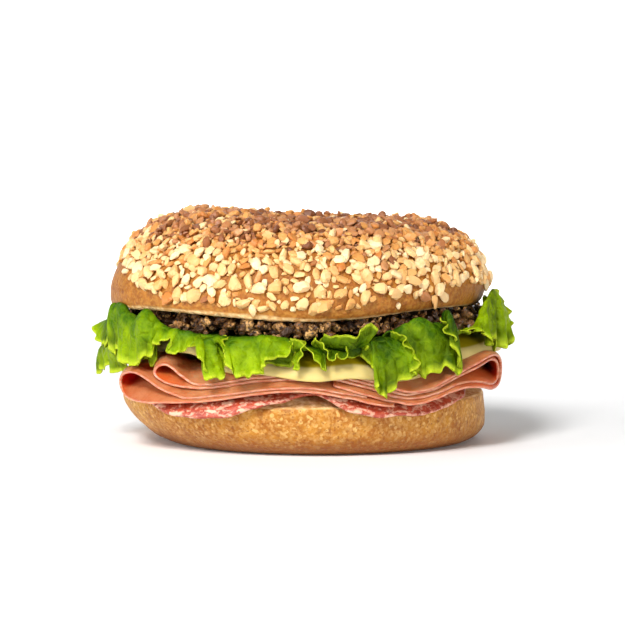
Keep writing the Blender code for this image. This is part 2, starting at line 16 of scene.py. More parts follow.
import bpy
import numpy as np
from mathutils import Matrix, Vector

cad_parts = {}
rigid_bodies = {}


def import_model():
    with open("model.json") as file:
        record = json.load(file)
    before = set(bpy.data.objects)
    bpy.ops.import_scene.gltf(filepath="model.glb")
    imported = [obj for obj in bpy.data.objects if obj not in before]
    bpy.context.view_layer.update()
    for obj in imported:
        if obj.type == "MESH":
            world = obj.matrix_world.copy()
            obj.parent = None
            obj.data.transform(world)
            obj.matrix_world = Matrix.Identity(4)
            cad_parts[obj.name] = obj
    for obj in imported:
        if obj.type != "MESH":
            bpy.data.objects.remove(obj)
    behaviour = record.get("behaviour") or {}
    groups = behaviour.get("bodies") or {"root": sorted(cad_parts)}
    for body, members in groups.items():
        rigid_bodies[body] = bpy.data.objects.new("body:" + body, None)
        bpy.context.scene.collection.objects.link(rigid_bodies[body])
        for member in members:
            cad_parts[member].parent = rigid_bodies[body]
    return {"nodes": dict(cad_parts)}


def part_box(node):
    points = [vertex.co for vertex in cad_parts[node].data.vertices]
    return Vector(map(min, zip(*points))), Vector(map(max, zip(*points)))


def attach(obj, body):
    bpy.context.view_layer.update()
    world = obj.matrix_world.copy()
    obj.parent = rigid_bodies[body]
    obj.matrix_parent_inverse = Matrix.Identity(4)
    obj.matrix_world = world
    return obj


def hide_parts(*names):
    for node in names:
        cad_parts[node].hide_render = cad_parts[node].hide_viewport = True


Array = np.ndarray
Colour = tuple[float, float, float]
Material = bpy.types.Material
Node = bpy.types.Node
Socket = bpy.types.NodeSocket

log = logging.getLogger("sandwich")
MM = 0.001
FULL_TURN = 2 * math.pi


def colour(red: float, green: float, blue: float) -> Colour:
    """Linear colour from screen values between 0 and 255."""
    shares = [value / 255 for value in (red, green, blue)]
    return tuple(share / 12.92 if share < 0.04045 else ((share + 0.055) / 1.055) ** 2.4 for share in shares)


def smooth(low: float, high: float, value: Array) -> Array:
    """S curve that is 0 up to low and 1 from high on: 3t^2 - 2t^3 of the share t between them."""
    share = np.clip((value - low) / (high - low), 0.0, 1.0)
    return share * share * (3 - 2 * share)


def unit(vectors: Array) -> Array:
    """The vectors along the last axis, each scaled to length one."""
    return vectors / np.maximum(np.linalg.norm(vectors, axis=-1, keepdims=True), 1e-9)


def stack_points(x: Array, y: Array, z: Array) -> Array:
    """Joins three coordinate arrays of like shape into an array of points."""
    return np.stack(np.broadcast_arrays(x, y, z), axis=-1)


class SoftNoise:
    """Seeded smooth noise: random values on a cubic lattice that wraps, blended between lattice points."""

    SIDE = 32

    def __init__(self, seed: int) -> None:
        """Fills the lattice with values between -1 and 1."""
        self.table = np.random.default_rng(seed).uniform(-1, 1, (self.SIDE,) * 3)

    def at(self, points: Array, size: float) -> Array:
        """Noise at points, with blobs about size across.

        The eight lattice values round each point are weighted by an S curve of its share along each axis.

        Args:
            points: Array of points in millimetres, with x, y and z along the last axis.
            size: Distance between lattice points.

        Returns:
            Values between -1 and 1, one for each point.
        """
        scaled = points / size
        cell = np.floor(scaled).astype(int)
        share = scaled - cell
        share = share * share * (3 - 2 * share)
        total = np.zeros(points.shape[:-1])
        for corner in range(8):
            step = np.array([(corner >> axis) & 1 for axis in range(3)])
            index = (cell + step) % self.SIDE
            weight = np.prod(np.where(step == 1, share, 1 - share), axis=-1)
            total += weight * self.table[index[..., 0], index[..., 1], index[..., 2]]
        return total

    def layered(self, points: Array, size: float, layers: int = 3) -> Array:
        """Noise added up over layers, each half as wide and half as strong as the one before."""
        return sum(self.at(points + 7.3 * k, size / 2**k) / 2**k for k in range(layers)) / 1.5


@dataclass(frozen=True)
class Stack:
    """Sizes and heights that several foods share, in millimetres."""

    sag_start: float = 44.0
    sag_rate: float = 0.03
    wave_height: float = 3.8
    wave_power: float = 1.4
    wave_length: float = 73.0
    wave_crest: float = -6.0
    wave_start: float = 38.0
    wave_full: float = 58.0
    rim_radius: float = 54.6
    rim_height: float = 13.0
    foot_shift: float = 4.5
    foot_height: float = 14.0
    bottom_height: float = 17.8
    ham_base: float = 21.8
    ham_first: float = 0.5
    ham_pitch: float = 1.08
    cut_height: float = 40.7
    cut_arch: float = 0.6
    cut_tilt: float = 0.6
    cut_radius: float = 57.0
    droop: float = 1.3
    droop_start: float = 25.0
    droop_middle: float = 6.0
    droop_width: float = 30.0
    ripple_size: float = 13.0
    ripple_depth: float = 0.3
    ripple: SoftNoise = field(default_factory=lambda: SoftNoise(3))

    def foot_lean(self, height: Array) -> Array:
        """How far the lower half leans along X: foot_shift at the table, none from foot_height up."""
        return self.foot_shift * (1 - smooth(0, self.foot_height, height))

    def sag(self, radius: Array) -> Array:
        """How far a layer hangs down: the square of the distance past sag_start."""
        return self.sag_rate * np.maximum(0.0, radius - self.sag_start) ** 2

    def wave(self, x: Array, radius: Array) -> Array:
        """The slow rise and fall of the stacked edges: a sharpened cosine of X that fades inwards.

        Args:
            x: X of each place.
            radius: Distance of each place from the roll's axis.

        Returns:
            A height for each place.
        """
        phase = FULL_TURN * (x - self.wave_crest) / self.wave_length
        crest = (0.5 * (1 + np.cos(phase))) ** self.wave_power
        return self.wave_height * crest * smooth(self.wave_start, self.wave_full, radius)

    def ripples(self, x: Array, y: Array) -> Array:
        """Small unevenness that every soft layer follows alike."""
        place = stack_points(x, y, np.zeros_like(x))
        return self.ripple_depth * self.ripple.at(place, self.ripple_size) * smooth(30, 50, np.hypot(x, y))

    def ham_floor(self, x: Array, y: Array) -> Array:
        """Height of the surface that the ham lies on."""
        radius = np.hypot(x, y)
        return self.ham_base - self.sag(radius) + self.wave(x, radius) + self.ripples(x, y)

    def ham_level(self, number: Array) -> Array:
        """Height of the middle of ham layer number above the ham's floor."""
        return self.ham_first + self.ham_pitch * number

    def cut_lift(self, x: Array, y: Array) -> Array:
        """How far the cut face lies above its middle: cosines of one and four turns, less the droop.

        Args:
            x: X of each place.
            y: Y of each place.

        Returns:
            A height for each place.
        """
        angle = np.arctan2(y, x)
        arches = self.cut_arch * (1 - np.cos(4 * angle)) + self.cut_tilt * (1 + np.cos(angle))
        return arches * (np.hypot(x, y) / self.cut_radius) ** 2 - self.front_droop(x, y)

    def front_droop(self, x: Array, y: Array) -> Array:
        """How far the lettuce and all above it sink at the front, right of the middle."""
        across = np.exp(-(((x - self.droop_middle) / self.droop_width) ** 2))
        return self.droop * smooth(self.droop_start, self.cut_radius, -y) * across


STACK = Stack()


# Meshes


@dataclass
class Shape:
    """Points in millimetres, quads and triangles between them, and point marks that the finishes read."""

    points: Array
    quads: Array
    triangles: Array = field(default_factory=lambda: np.zeros((0, 3), int))
    marks: dict[str, Array] = field(default_factory=dict)

    def volume(self) -> float:
        """Signed volume: a sixth of the triple products of every triangle's corners.

        Returns:
            The volume, negative where the faces point inwards.
        """
        halves = np.concatenate([self.triangles, self.quads[:, [0, 1, 2]], self.quads[:, [0, 2, 3]]])
        a, b, c = (self.points[halves[:, k]] for k in range(3))
        return float(np.einsum("ij,ij->i", a, np.cross(b, c)).sum() / 6)

    def outward(self) -> "Shape":
        """The same shape with its faces turned so that they point outwards."""
        if self.volume() < 0:
            self.quads = self.quads[:, ::-1]
            self.triangles = self.triangles[:, ::-1]
        return self


def join(shapes: list[Shape]) -> Shape:
    """Several shapes as one.

    Args:
        shapes: The shapes, which all carry the marks of the first.

    Returns:
        One shape with the points, faces and marks of all.
    """
    starts = np.cumsum([0] + [len(shape.points) for shape in shapes[:-1]])
    return Shape(
        np.concatenate([shape.points for shape in shapes]),
        np.concatenate([shape.quads + start for shape, start in zip(shapes, starts)]),
        np.concatenate([shape.triangles + start for shape, start in zip(shapes, starts)]),
        {name: np.concatenate([shape.marks[name] for shape in shapes]) for name in shapes[0].marks},
    )


def grid_quads(rows: int, columns: int, wrap_rows: bool = False, wrap_columns: bool = False) -> Array:
    """Corner numbers of the quads of a grid whose points are stored row by row.

    Args:
        rows: Number of rows.
        columns: Number of columns.
        wrap_rows: Whether the last row is joined to the first.
        wrap_columns: Whether the last column is joined to the first.

    Returns:
        Array with four corner numbers a quad.
    """
    i, j = np.meshgrid(
        np.arange(rows if wrap_rows else rows - 1),
        np.arange(columns if wrap_columns else columns - 1),
        indexing="ij",
    )
    k, m = (i + 1) % rows, (j + 1) % columns
    corners = (i * columns + j, k * columns + j, k * columns + m, i * columns + m)
    return np.stack(corners, axis=-1).reshape(-1, 4)


def grid_normals(grid: Array, wrap_rows: bool = False, wrap_columns: bool = False) -> Array:
    """Unit normals of a grid of points: the cross product of its slopes along rows and columns.

    Args:
        grid: Points, rows by columns by 3.
        wrap_rows: Whether the last row is joined to the first.
        wrap_columns: Whether the last column is joined to the first.

    Returns:
        A normal for each point.
    """
    slopes = []
    for axis, wrap in ((0, wrap_rows), (1, wrap_columns)):
        if wrap:
            slopes.append(np.roll(grid, -1, axis) - np.roll(grid, 1, axis))
        else:
            slopes.append(np.gradient(grid, axis=axis))
    return unit(np.cross(slopes[0], slopes[1]))


def slab(middle: Array, thickness: Array, rim_steps: int = 3) -> Shape:
    """A closed sheet round a grid of middle points.

    Both faces lie half the thickness from the middle along its normal. Round the border the sheet turns
    from one face to the other in a half circle about the border point.

    Args:
        middle: Grid of points, rows by columns by 3.
        thickness: Thickness at each grid point.
        rim_steps: Number of points on the half circle between the two faces.

    Returns:
        The shape, with marks u for the share along the rows and side from 1 above to -1 below.
    """
    rows, columns, _ = middle.shape
    normal = grid_normals(middle)
    half = np.broadcast_to(thickness, (rows, columns))[..., None] / 2
    row_run, column_run = np.arange(1, rows), np.arange(columns)
    row = np.concatenate([0 * column_run, row_run, 0 * column_run[1:] + rows - 1, row_run[-2::-1]])
    column = np.concatenate([column_run, 0 * row_run + columns - 1, column_run[-2::-1], 0 * row_run[1:]])
    centre, border_normal, border_half = middle[row, column], normal[row, column], half[row, column]
    out = centre - middle[np.clip(row, 1, rows - 2), np.clip(column, 1, columns - 2)]
    out = unit(out - border_normal * np.sum(out * border_normal, axis=-1, keepdims=True))
    turns = math.pi * np.arange(1, rim_steps + 1) / (rim_steps + 1)
    rings = [centre + (border_normal * math.cos(t) + out * math.sin(t)) * border_half for t in turns]
    share = np.linspace(0, 1, rows)
    size, border = rows * columns, row * columns + column
    faces = grid_quads(rows, columns)
    loops = [border] + [2 * size + k * len(border) + np.arange(len(border)) for k in range(rim_steps)]
    loops.append(border + size)
    strips = [np.stack([a, b, np.roll(b, -1), np.roll(a, -1)], axis=-1) for a, b in zip(loops, loops[1:])]
    upper, lower = middle + normal * half, middle - normal * half
    return Shape(
        np.concatenate([upper.reshape(-1, 3), lower.reshape(-1, 3), *rings]),
        np.concatenate([faces[:, ::-1], faces + size, *[strip[:, ::-1] for strip in strips]]),
        marks={
            "u": np.concatenate([np.tile(np.repeat(share, columns), 2)] + [share[row]] * rim_steps),
            "side": np.concatenate(
                [np.ones(size), -np.ones(size)] + [np.full(len(border), math.cos(t)) for t in turns]
            ),
        },
    ).outward()


def disc(
    centre: tuple[float, float],
    outline: Callable[[Array], Array],
    surface: Callable[[Array, Array, Array], Array],
    thickness: float,
    rings: int,
    segments: int,
    edge_crowding: float = 1.6,
) -> Shape:
    """A closed round slice.

    A profile runs from the middle of the upper face out to the rim, round it in a half circle and back
    along the lower face. It is carried once round the slice, and its outline and height follow the angle.

    Args:
        centre: X and Y of the slice's middle.
        outline: Radius at each angle.
        surface: Points of the bent slice for flat X and Y and the distance from its middle layer.
        thickness: Thickness of the slice.
        rings: Rings on each face.
        segments: Steps round the slice.
        edge_crowding: Power above 1 that crowds the rings towards the rim.

    Returns:
        The shape, with mark rim, 0 in the middle and 1 at the edge.
    """
    share = 1 - (1 - np.linspace(0, 1, rings + 1)[1:]) ** edge_crowding
    turns = np.linspace(0, math.pi, 7)[1:-1]
    shares = np.concatenate([share, np.ones(len(turns)), share[::-1]])[:, None]
    tilt = np.concatenate([np.zeros(rings), turns, np.full(rings, math.pi)])[:, None]
    angle = np.linspace(0, FULL_TURN, segments, endpoint=False)[None, :]
    radius = shares * (outline(angle) - thickness / 2) + thickness / 2 * np.sin(tilt)
    x, y = centre[0] + radius * np.cos(angle), centre[1] + radius * np.sin(angle)
    grid = surface(x, y, thickness / 2 * np.cos(tilt) + 0 * x)
    poles = surface(*(np.full(2, value) for value in centre), np.array([thickness, -thickness]) / 2)
    count = len(shares)
    ring = np.arange(segments)
    last = (count - 1) * segments
    fans = [
        np.stack([np.full(segments, count * segments), ring, np.roll(ring, -1)], axis=-1),
        np.stack([np.full(segments, count * segments + 1), last + np.roll(ring, -1), last + ring], axis=-1),
    ]
    rim = np.broadcast_to(shares, grid.shape[:2]).ravel()
    return Shape(
        np.concatenate([grid.reshape(-1, 3), poles]),
        grid_quads(count, segments, wrap_columns=True)[:, ::-1],
        np.concatenate(fans),
        {"rim": np.append(rim, (0, 0))},
    ).outward()


def chunk(rng: np.random.Generator, cuts: int, steps: int = 3) -> Shape:
    """A chopped piece: in each direction of a cube's grid it reaches out to the nearest of its flat cuts.

    The reach to a cut is the cut's distance over the cosine between the direction and the cut's normal.

    Args:
        rng: Seeded generator.
        cuts: Number of flat cuts.
        steps: Grid steps along each edge of the cube.

    Returns:
        A closed shape about one unit in radius.
    """
    line = np.linspace(-1, 1, steps + 1)
    a, b = np.meshgrid(line, line, indexing="ij")
    one = np.ones_like(a)
    sides = [
        np.stack(np.roll([a * sign, b, one * sign], axis, axis=0), axis=-1).reshape(-1, 3)
        for axis in range(3)
        for sign in (1, -1)
    ]
    corners, number = np.unique(np.concatenate(sides).round(6), axis=0, return_inverse=True)
    quads = np.concatenate([grid_quads(steps + 1, steps + 1) + k * (steps + 1) ** 2 for k in range(6)])
    directions = unit(corners)
    facing = directions @ unit(rng.normal(size=(cuts, 3))).T
    distances = rng.uniform(0.5, 0.95, cuts)
    reach = np.where(facing > 0.1, distances / np.maximum(facing, 0.1), 9.0).min(axis=1).clip(0.4, 1.3)
    return Shape(directions * reach[:, None], number.reshape(-1)[quads]).outward()


def turned_axes(normals: Array, spins: Array) -> Array:
    """Three unit axes at each place.

    Args:
        normals: Unit normal at each place.
        spins: Angle in radians by which the first two axes are turned about the normal.

    Returns:
        Axes for each place, one a row: two along the surface and the normal.
    """
    helper = np.where(np.abs(normals[:, 2:]) < 0.9, [[0.0, 0.0, 1.0]], [[1.0, 0.0, 0.0]])
    first = unit(np.cross(helper, normals))
    second = np.cross(normals, first)
    cosine, sine = np.cos(spins)[:, None], np.sin(spins)[:, None]
    return np.stack([first * cosine + second * sine, second * cosine - first * sine, normals], axis=1)


def scatter(kinds: list[Shape], places: Array, axes: Array, sizes: Array, tone: Array) -> Shape:
    """Copies of a few shapes, each at its own place, turned to its own axes and stretched to its own size.

    Args:
        kinds: The shapes, used in turn.
        places: Middle of each copy.
        axes: Three unit axes of each copy.
        sizes: Half length of each copy along its three axes.
        tone: A value for each copy, which its points carry as the mark tone.

    Returns:
        All copies as one shape.
    """
    parts = []
    for k, kind in enumerate(kinds):
        chosen = slice(k, None, len(kinds))
        frames = axes[chosen] * sizes[chosen][:, :, None]
        points = np.einsum("va,nab->nvb", kind.points, frames) + places[chosen][:, None, :]
        starts = (np.arange(len(points)) * len(kind.points))[:, None, None]
        quads = (kind.quads[None] + starts).reshape(-1, 4)
        marks = {"tone": np.repeat(tone[chosen], len(kind.points))}
        parts.append(Shape(points.reshape(-1, 3), quads, marks=marks).outward())
    return join(parts)


class Table:
    """Puts shapes into the scene, in metres and in the part's own frame."""

    def __init__(self) -> None:
        """Finds the roll's axis from the left side of the lower half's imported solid, where it is widest."""
        low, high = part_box("bread_bottom")
        lean = float(STACK.foot_lean(np.array(STACK.rim_height)))
        self.axis = np.array([low.x / MM + STACK.rim_radius - lean, (low.y + high.y) / 2 / MM, 0.0])

    def put(
        self,
        name: str,
        shape: Shape,
        material: Material,
        nodes: tuple[str, ...] = (),
        sharp_angle: float | None = None,
    ) -> None:
        """Makes the object, lets it ride on the sandwich and hides the solids that it stands for.

        Args:
            name: Name of the piece.
            shape: The shape in millimetres from the roll's axis.
            material: Its finish.
            nodes: Names of the solids that it replaces.
            sharp_angle: Angle in degrees past which an edge is sharp, or None for smooth all over.
        """
        mesh = bpy.data.meshes.new(name)
        mesh.vertices.add(len(shape.points))
        mesh.vertices.foreach_set("co", ((shape.points + self.axis) * MM).ravel())
        corners = np.concatenate([shape.quads.ravel(), shape.triangles.ravel()])
        mesh.loops.add(len(corners))
        mesh.loops.foreach_set("vertex_index", corners)
        quads, triangles = len(shape.quads), len(shape.triangles)
        mesh.polygons.add(quads + triangles)
        starts = np.concatenate([np.arange(quads) * 4, quads * 4 + np.arange(triangles) * 3])
        mesh.polygons.foreach_set("loop_start", starts)
        mesh.update(calc_edges=True)
        mesh.validate()
        for mark, values in shape.marks.items():
            attribute = mesh.attributes.new(mark, "FLOAT", "POINT")
            attribute.data.foreach_set("value", np.asarray(values, np.float32))
        mesh.shade_smooth()
        if sharp_angle is not None:
            mesh.set_sharp_from_angle(angle=math.radians(sharp_angle))
        mesh.materials.append(material)
        piece = bpy.data.objects.new(name, mesh)
        bpy.context.scene.collection.objects.link(piece)
        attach(piece, "root")
        if nodes:
            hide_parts(*nodes)
        log.info("%s: %d faces", name, quads + triangles)


# Finishes


class Tree:
    """Short calls for filling a node tree, whether a material's or a group's."""

    def __init__(self, tree: bpy.types.NodeTree) -> None:
        """Keeps the tree that the nodes go into."""
        self.tree = tree

    def add(self, kind: str, settings: dict[str, str] | None = None, **inputs: object) -> Node:
        """Adds a node.

        Args:
            kind: The node's type without its ShaderNode prefix.
            settings: Values of the node's own properties.
            inputs: Values or sockets for its inputs, by name with underscores for spaces, or by _number.

        Returns:
            The node.
        """
        node = self.tree.nodes.new(f"ShaderNode{kind}")
        for name, value in (settings or {}).items():
            setattr(node, name, value)
        for name, value in inputs.items():
            socket = node.inputs[int(name[1:])] if name[0] == "_" else node.inputs[name.replace("_", " ")]
            if isinstance(value, Socket):
                self.tree.links.new(value, socket)
            elif isinstance(value, tuple) and socket.type == "RGBA":
                socket.default_value = (*value, 1.0)
            else:
                socket.default_value = value
        return node

    def mark(self, name: str) -> Socket:
        """The value of one of the mesh's point marks."""
        return self.add("Attribute", {"attribute_name": name}).outputs["Fac"]

    def place(self, stretch: tuple[float, float, float] = (1.0, 1.0, 1.0)) -> Socket:
        """Place on the object in millimetres, multiplied along each axis by stretch.

        Args:
            stretch: Factors along X, Y and Z.

        Returns:
            The place.
        """
        scale = tuple(value / MM for value in stretch)
        where = self.add("TexCoord").outputs["Object"]
        return self.add("Mapping", Vector=where, Scale=scale).outputs["Vector"]

    def noise(self, place: Socket, size: float, detail: float = 3.0) -> Socket:
        """Noise from 0 to 1 with blobs about size millimetres across."""
        return self.add("TexNoise", Vector=place, Scale=1 / size, Detail=detail).outputs["Fac"]

    def cells(self, place: Socket, size: float, **settings: str) -> Node:
        """A Voronoi pattern with cells about size millimetres across."""
        return self.add("TexVoronoi", settings, Vector=place, Scale=1 / size)

    def maths(self, operation: str, first: object, second: object = 0.0) -> Socket:
        """One operation of arithmetic on one or two values."""
        return self.add("Math", {"operation": operation}, _0=first, _1=second).outputs[0]

    def between(self, value: Socket, low: float, high: float) -> Socket:
        """S curve from 0 at low to 1 at high.

        Args:
            value: What is mapped.
            low: Value that gives 0.
            high: Value that gives 1, which may be under low.

        Returns:
            The mapped value.
        """
        node = self.add("MapRange", {"interpolation_type": "SMOOTHSTEP"}, Value=value)
        bottom, top = sorted((low, high))
        values = (bottom, top, 0.0, 1.0) if low < high else (bottom, top, 1.0, 0.0)
        for name, number in zip(("From Min", "From Max", "To Min", "To Max"), values):
            node.inputs[name].default_value = number
        return node.outputs["Result"]

    def blend(self, share: object, first: object, second: object) -> Socket:
        """Mix of two colours by share."""
        return self.add("Mix", {"data_type": "RGBA"}, _0=share, _6=first, _7=second).outputs[2]

    def ramp(self, value: Socket, stops: dict[float, Colour]) -> Socket:
        """Colour that runs through stops.

        Args:
            value: Place on the ramp, from 0 to 1.
            stops: Colours by their places on the ramp, in order.

        Returns:
            The colour.
        """
        node = self.add("ValToRGB", Fac=value)
        elements = node.color_ramp.elements
        while len(elements) < len(stops):
            elements.new(0.5)
        for element, (position, shade) in zip(elements, stops.items()):
            element.position = position
            element.color = (*shade, 1.0)
        return node.outputs["Color"]

    def cover(self, base: object, over: object, mask: Socket, share: float = 1.0) -> Socket:
        """The colour over laid on base where mask is high, by at most share."""
        return self.blend(mask if share == 1.0 else self.maths("MULTIPLY", mask, share), base, over)

    def bent(self, place: Socket, scale: float, detail: float, reach: float) -> Socket:
        """A place moved along each axis by noise of up to reach, in the units of place.

        Args:
            place: The place that is moved.
            scale: Scale of the noise on the piece, for each millimetre.
            detail: Detail of the noise.
            reach: Longest move along an axis.

        Returns:
            The moved place.
        """
        warp = self.add("TexNoise", Vector=self.place(), Scale=scale, Detail=detail).outputs["Color"]
        settings = {"operation": "MULTIPLY_ADD"}
        return self.add("VectorMath", settings, _0=warp, _1=(reach, reach, reach), _2=place).outputs[0]

    def bump(self, height: object, depth: float, under: Socket | None = None) -> Socket:
        """Normal of a relief.

        Args:
            height: Height from 0 to 1.
            depth: Depth of the relief in millimetres.
            under: Normal of a coarser relief that it lies on.

        Returns:
            The normal.
        """
        node = self.add("Bump", Height=height, Distance=depth * MM, Strength=1.0)
        if under is not None:
            self.tree.links.new(under, node.inputs["Normal"])
        return node.outputs["Normal"]


class Effect(Enum):
    """Effects that several finishes share, each a node group built once."""

    MOTTLE = "mottled colour"
    GRAIN = "fine relief"
    SPECKS = "scattered specks"

    def group(self) -> bpy.types.NodeTree:
        """The effect's node group, built on its first use.

        Returns:
            MOTTLE puts out Color: noise of the given Size blends Dark and Light. GRAIN puts out Height:
            noise of the given Size with a finer layer on it. SPECKS puts out Mask: spots of the given
            Size and Share, in cells of uneven place.
        """
        if self.value in bpy.data.node_groups:
            return bpy.data.node_groups[self.value]
        tree = bpy.data.node_groups.new(self.value, "ShaderNodeTree")
        kit = Tree(tree)
        sockets = {
            Effect.MOTTLE: (("Size", "Float"), ("Dark", "Color"), ("Light", "Color")),
            Effect.GRAIN: (("Size", "Float"),),
            Effect.SPECKS: (("Size", "Float"), ("Share", "Float")),
        }[self]
        for name, kind in (("Place", "Vector"), *sockets):
            tree.interface.new_socket(name, in_out="INPUT", socket_type=f"NodeSocket{kind}")
        inside = tree.nodes.new("NodeGroupInput")
        outside = tree.nodes.new("NodeGroupOutput")
        place, scale = inside.outputs["Place"], kit.maths("DIVIDE", 1.0, inside.outputs["Size"])
        if self is Effect.MOTTLE:
            noise = kit.add("TexNoise", Vector=place, Scale=scale, Detail=4.0).outputs["Fac"]
            share = kit.between(noise, 0.32, 0.68)
            result = kit.blend(share, inside.outputs["Dark"], inside.outputs["Light"])
            name, kind = "Color", "Color"
        elif self is Effect.GRAIN:
            coarse = kit.add("TexNoise", Vector=place, Scale=scale, Detail=5.0, Roughness=0.6)
            fine = kit.add("TexVoronoi", Vector=place, Scale=scale).outputs["Distance"]
            result = kit.maths("ADD", coarse.outputs["Fac"], kit.maths("MULTIPLY", fine, 0.4))
            name, kind = "Height", "Float"
        else:
            cell = kit.add("TexVoronoi", Vector=place, Scale=scale)
            spot = kit.maths("LESS_THAN", cell.outputs["Distance"], 0.28)
            chosen = kit.add("SeparateColor", Color=cell.outputs["Color"]).outputs[0]
            result = kit.maths("MULTIPLY", spot, kit.maths("LESS_THAN", chosen, inside.outputs["Share"]))
            name, kind = "Mask", "Float"
        tree.interface.new_socket(name, in_out="OUTPUT", socket_type=f"NodeSocket{kind}")
        tree.links.new(result, outside.inputs[name])
        return tree


class Paint(Tree):
    """A material's node tree, with its Principled shader."""

    def __init__(self, name: str) -> None:
        """Makes the material.

        Args:
            name: The material's name.
        """
        self.material = bpy.data.materials.new(name)
        self.material.use_nodes = True
        super().__init__(self.material.node_tree)
        self.shader = self.tree.nodes["Principled BSDF"]

    def effect(self, effect: Effect, place: Socket, **inputs: object) -> Socket:
        """Places one of the shared effects.

        Args:
            effect: The effect.
            place: Place on the piece, in millimetres.
            inputs: Numbers or colours for its other inputs, by name.

        Returns:
            The effect's output.
        """
        node = self.tree.nodes.new("ShaderNodeGroup")
        node.node_tree = effect.group()
        self.tree.links.new(place, node.inputs["Place"])
        for name, value in inputs.items():
            node.inputs[name].default_value = (*value, 1.0) if isinstance(value, tuple) else value
        return node.outputs[0]

    def finish(self, **inputs: object) -> Material:
        """Sets or links the shader's inputs.

        Args:
            inputs: Values or sockets, by name with underscores for spaces.

        Returns:
            The material.
        """
        for name, value in inputs.items():
            socket = self.shader.inputs[name.replace("_", " ")]
            if isinstance(value, Socket):
                self.tree.links.new(value, socket)
            else:
                socket.default_value = value
        return self.material


@dataclass(frozen=True)
class CrustFinish:
    """Baked wholegrain crust: mottled tan with pale spots and dark specks, and pale crumb where cut."""

    name: str
    tan: Colour
    deep: Colour
    pale: Colour
    toasted: Colour
    spots: float
    crumb: Colour = colour(238, 204, 148)
    crumb_shade: Colour = colour(206, 152, 88)
    speck: Colour = colour(122, 64, 24)

    def material(self) -> Material:
        """Mark crumb is 1 on cut faces, and mark toast 1 where baked darkest.

        Returns:
            The material.
        """
        paint = Paint(self.name)
        place = paint.place()
        base = paint.effect(Effect.MOTTLE, place, Size=4.5, Dark=self.deep, Light=self.tan)
        fine = paint.between(paint.noise(place, 1.1, 4.0), 0.42, 0.62)
        base = paint.cover(base, self.pale, fine, 0.4)
        blobs = paint.cells(place, 1.6, feature="SMOOTH_F1").outputs["Distance"]
        patch = paint.between(paint.noise(place, 2.6), 0.4, 0.56)
        spots = paint.maths("MULTIPLY", paint.between(blobs, 0.36, 0.26), patch)
        base = paint.cover(base, self.pale, spots, self.spots)
        dark = paint.between(paint.noise(place, 1.7, 4.0), 0.56, 0.68)
        base = paint.cover(base, self.toasted, dark, 0.5)
        base = paint.cover(base, self.toasted, paint.mark("toast"), 0.8)
        specks = paint.effect(Effect.SPECKS, place, Size=1.1, Share=0.3)
        base = paint.cover(base, self.speck, specks, 0.55)
        crumb = paint.effect(Effect.MOTTLE, place, Size=1.6, Dark=self.crumb_shade, Light=self.crumb)
        base = paint.cover(base, crumb, paint.mark("crumb"))
        grain = paint.effect(Effect.GRAIN, place, Size=0.8)
        soft = paint.bump(paint.noise(place, 1.8, 3.0), 0.4)
        rough = paint.maths("ADD", 0.5, paint.maths("MULTIPLY", paint.mark("crumb"), 0.3))
        return paint.finish(
            Base_Color=base,
            Roughness=rough,
            Specular_IOR_Level=0.25,
            Normal=paint.bump(grain, 0.2, soft),
            Subsurface_Weight=0.08,
            Subsurface_Radius=(1.0, 0.5, 0.25),
            Subsurface_Scale=0.0008,
        )


@dataclass(frozen=True)
class NutFinish:
    """Chopped nuts: the mark tone runs from 0, the palest of their kind, to 1, the darkest."""

    name: str
    stops: tuple[Colour, Colour, Colour]

    def material(self) -> Material:
        """Tone picks each piece's colour, and a little noise varies it within the piece.

        Returns:
            The material.
        """
        paint = Paint(self.name)
        place = paint.place()
        shade = paint.ramp(paint.mark("tone"), dict(zip((0.0, 0.5, 1.0), self.stops)))
        patch = paint.between(paint.noise(place, 1.4), 0.5, 0.8)
        shade = paint.cover(shade, self.stops[2], patch, 0.45)
        grain = paint.effect(Effect.GRAIN, place, Size=0.7)
        return paint.finish(
            Base_Color=shade,
            Roughness=0.45,
            Normal=paint.bump(grain, 0.1),
            Subsurface_Weight=0.25,
            Subsurface_Radius=(1.0, 0.6, 0.3),
            Subsurface_Scale=0.0012,
        )


@dataclass(frozen=True)
class CrumbleFinish:
    """Dark minced crumbs with a moist shine and lighter bits."""

    name: str = "crumble_finish"
    dark: Colour = colour(56, 30, 8)
    middle: Colour = colour(144, 94, 40)
    light: Colour = colour(216, 166, 96)

    def material(self) -> Material:
        """Tone picks each crumb's colour, which noise varies.

        Returns:
            The material.
        """
        paint = Paint(self.name)
        place = paint.place()
        shade = paint.ramp(paint.mark("tone"), {0.0: self.dark, 0.55: self.middle, 1.0: self.light})
        shade = paint.cover(shade, self.dark, paint.between(paint.noise(place, 0.8), 0.42, 0.62))
        grain = paint.effect(Effect.GRAIN, place, Size=1.1)
        return paint.finish(
            Base_Color=shade,
            Roughness=0.36,
            Normal=paint.bump(grain, 1.1),
            Coat_Weight=0.2,
            Coat_Roughness=0.2,
        )


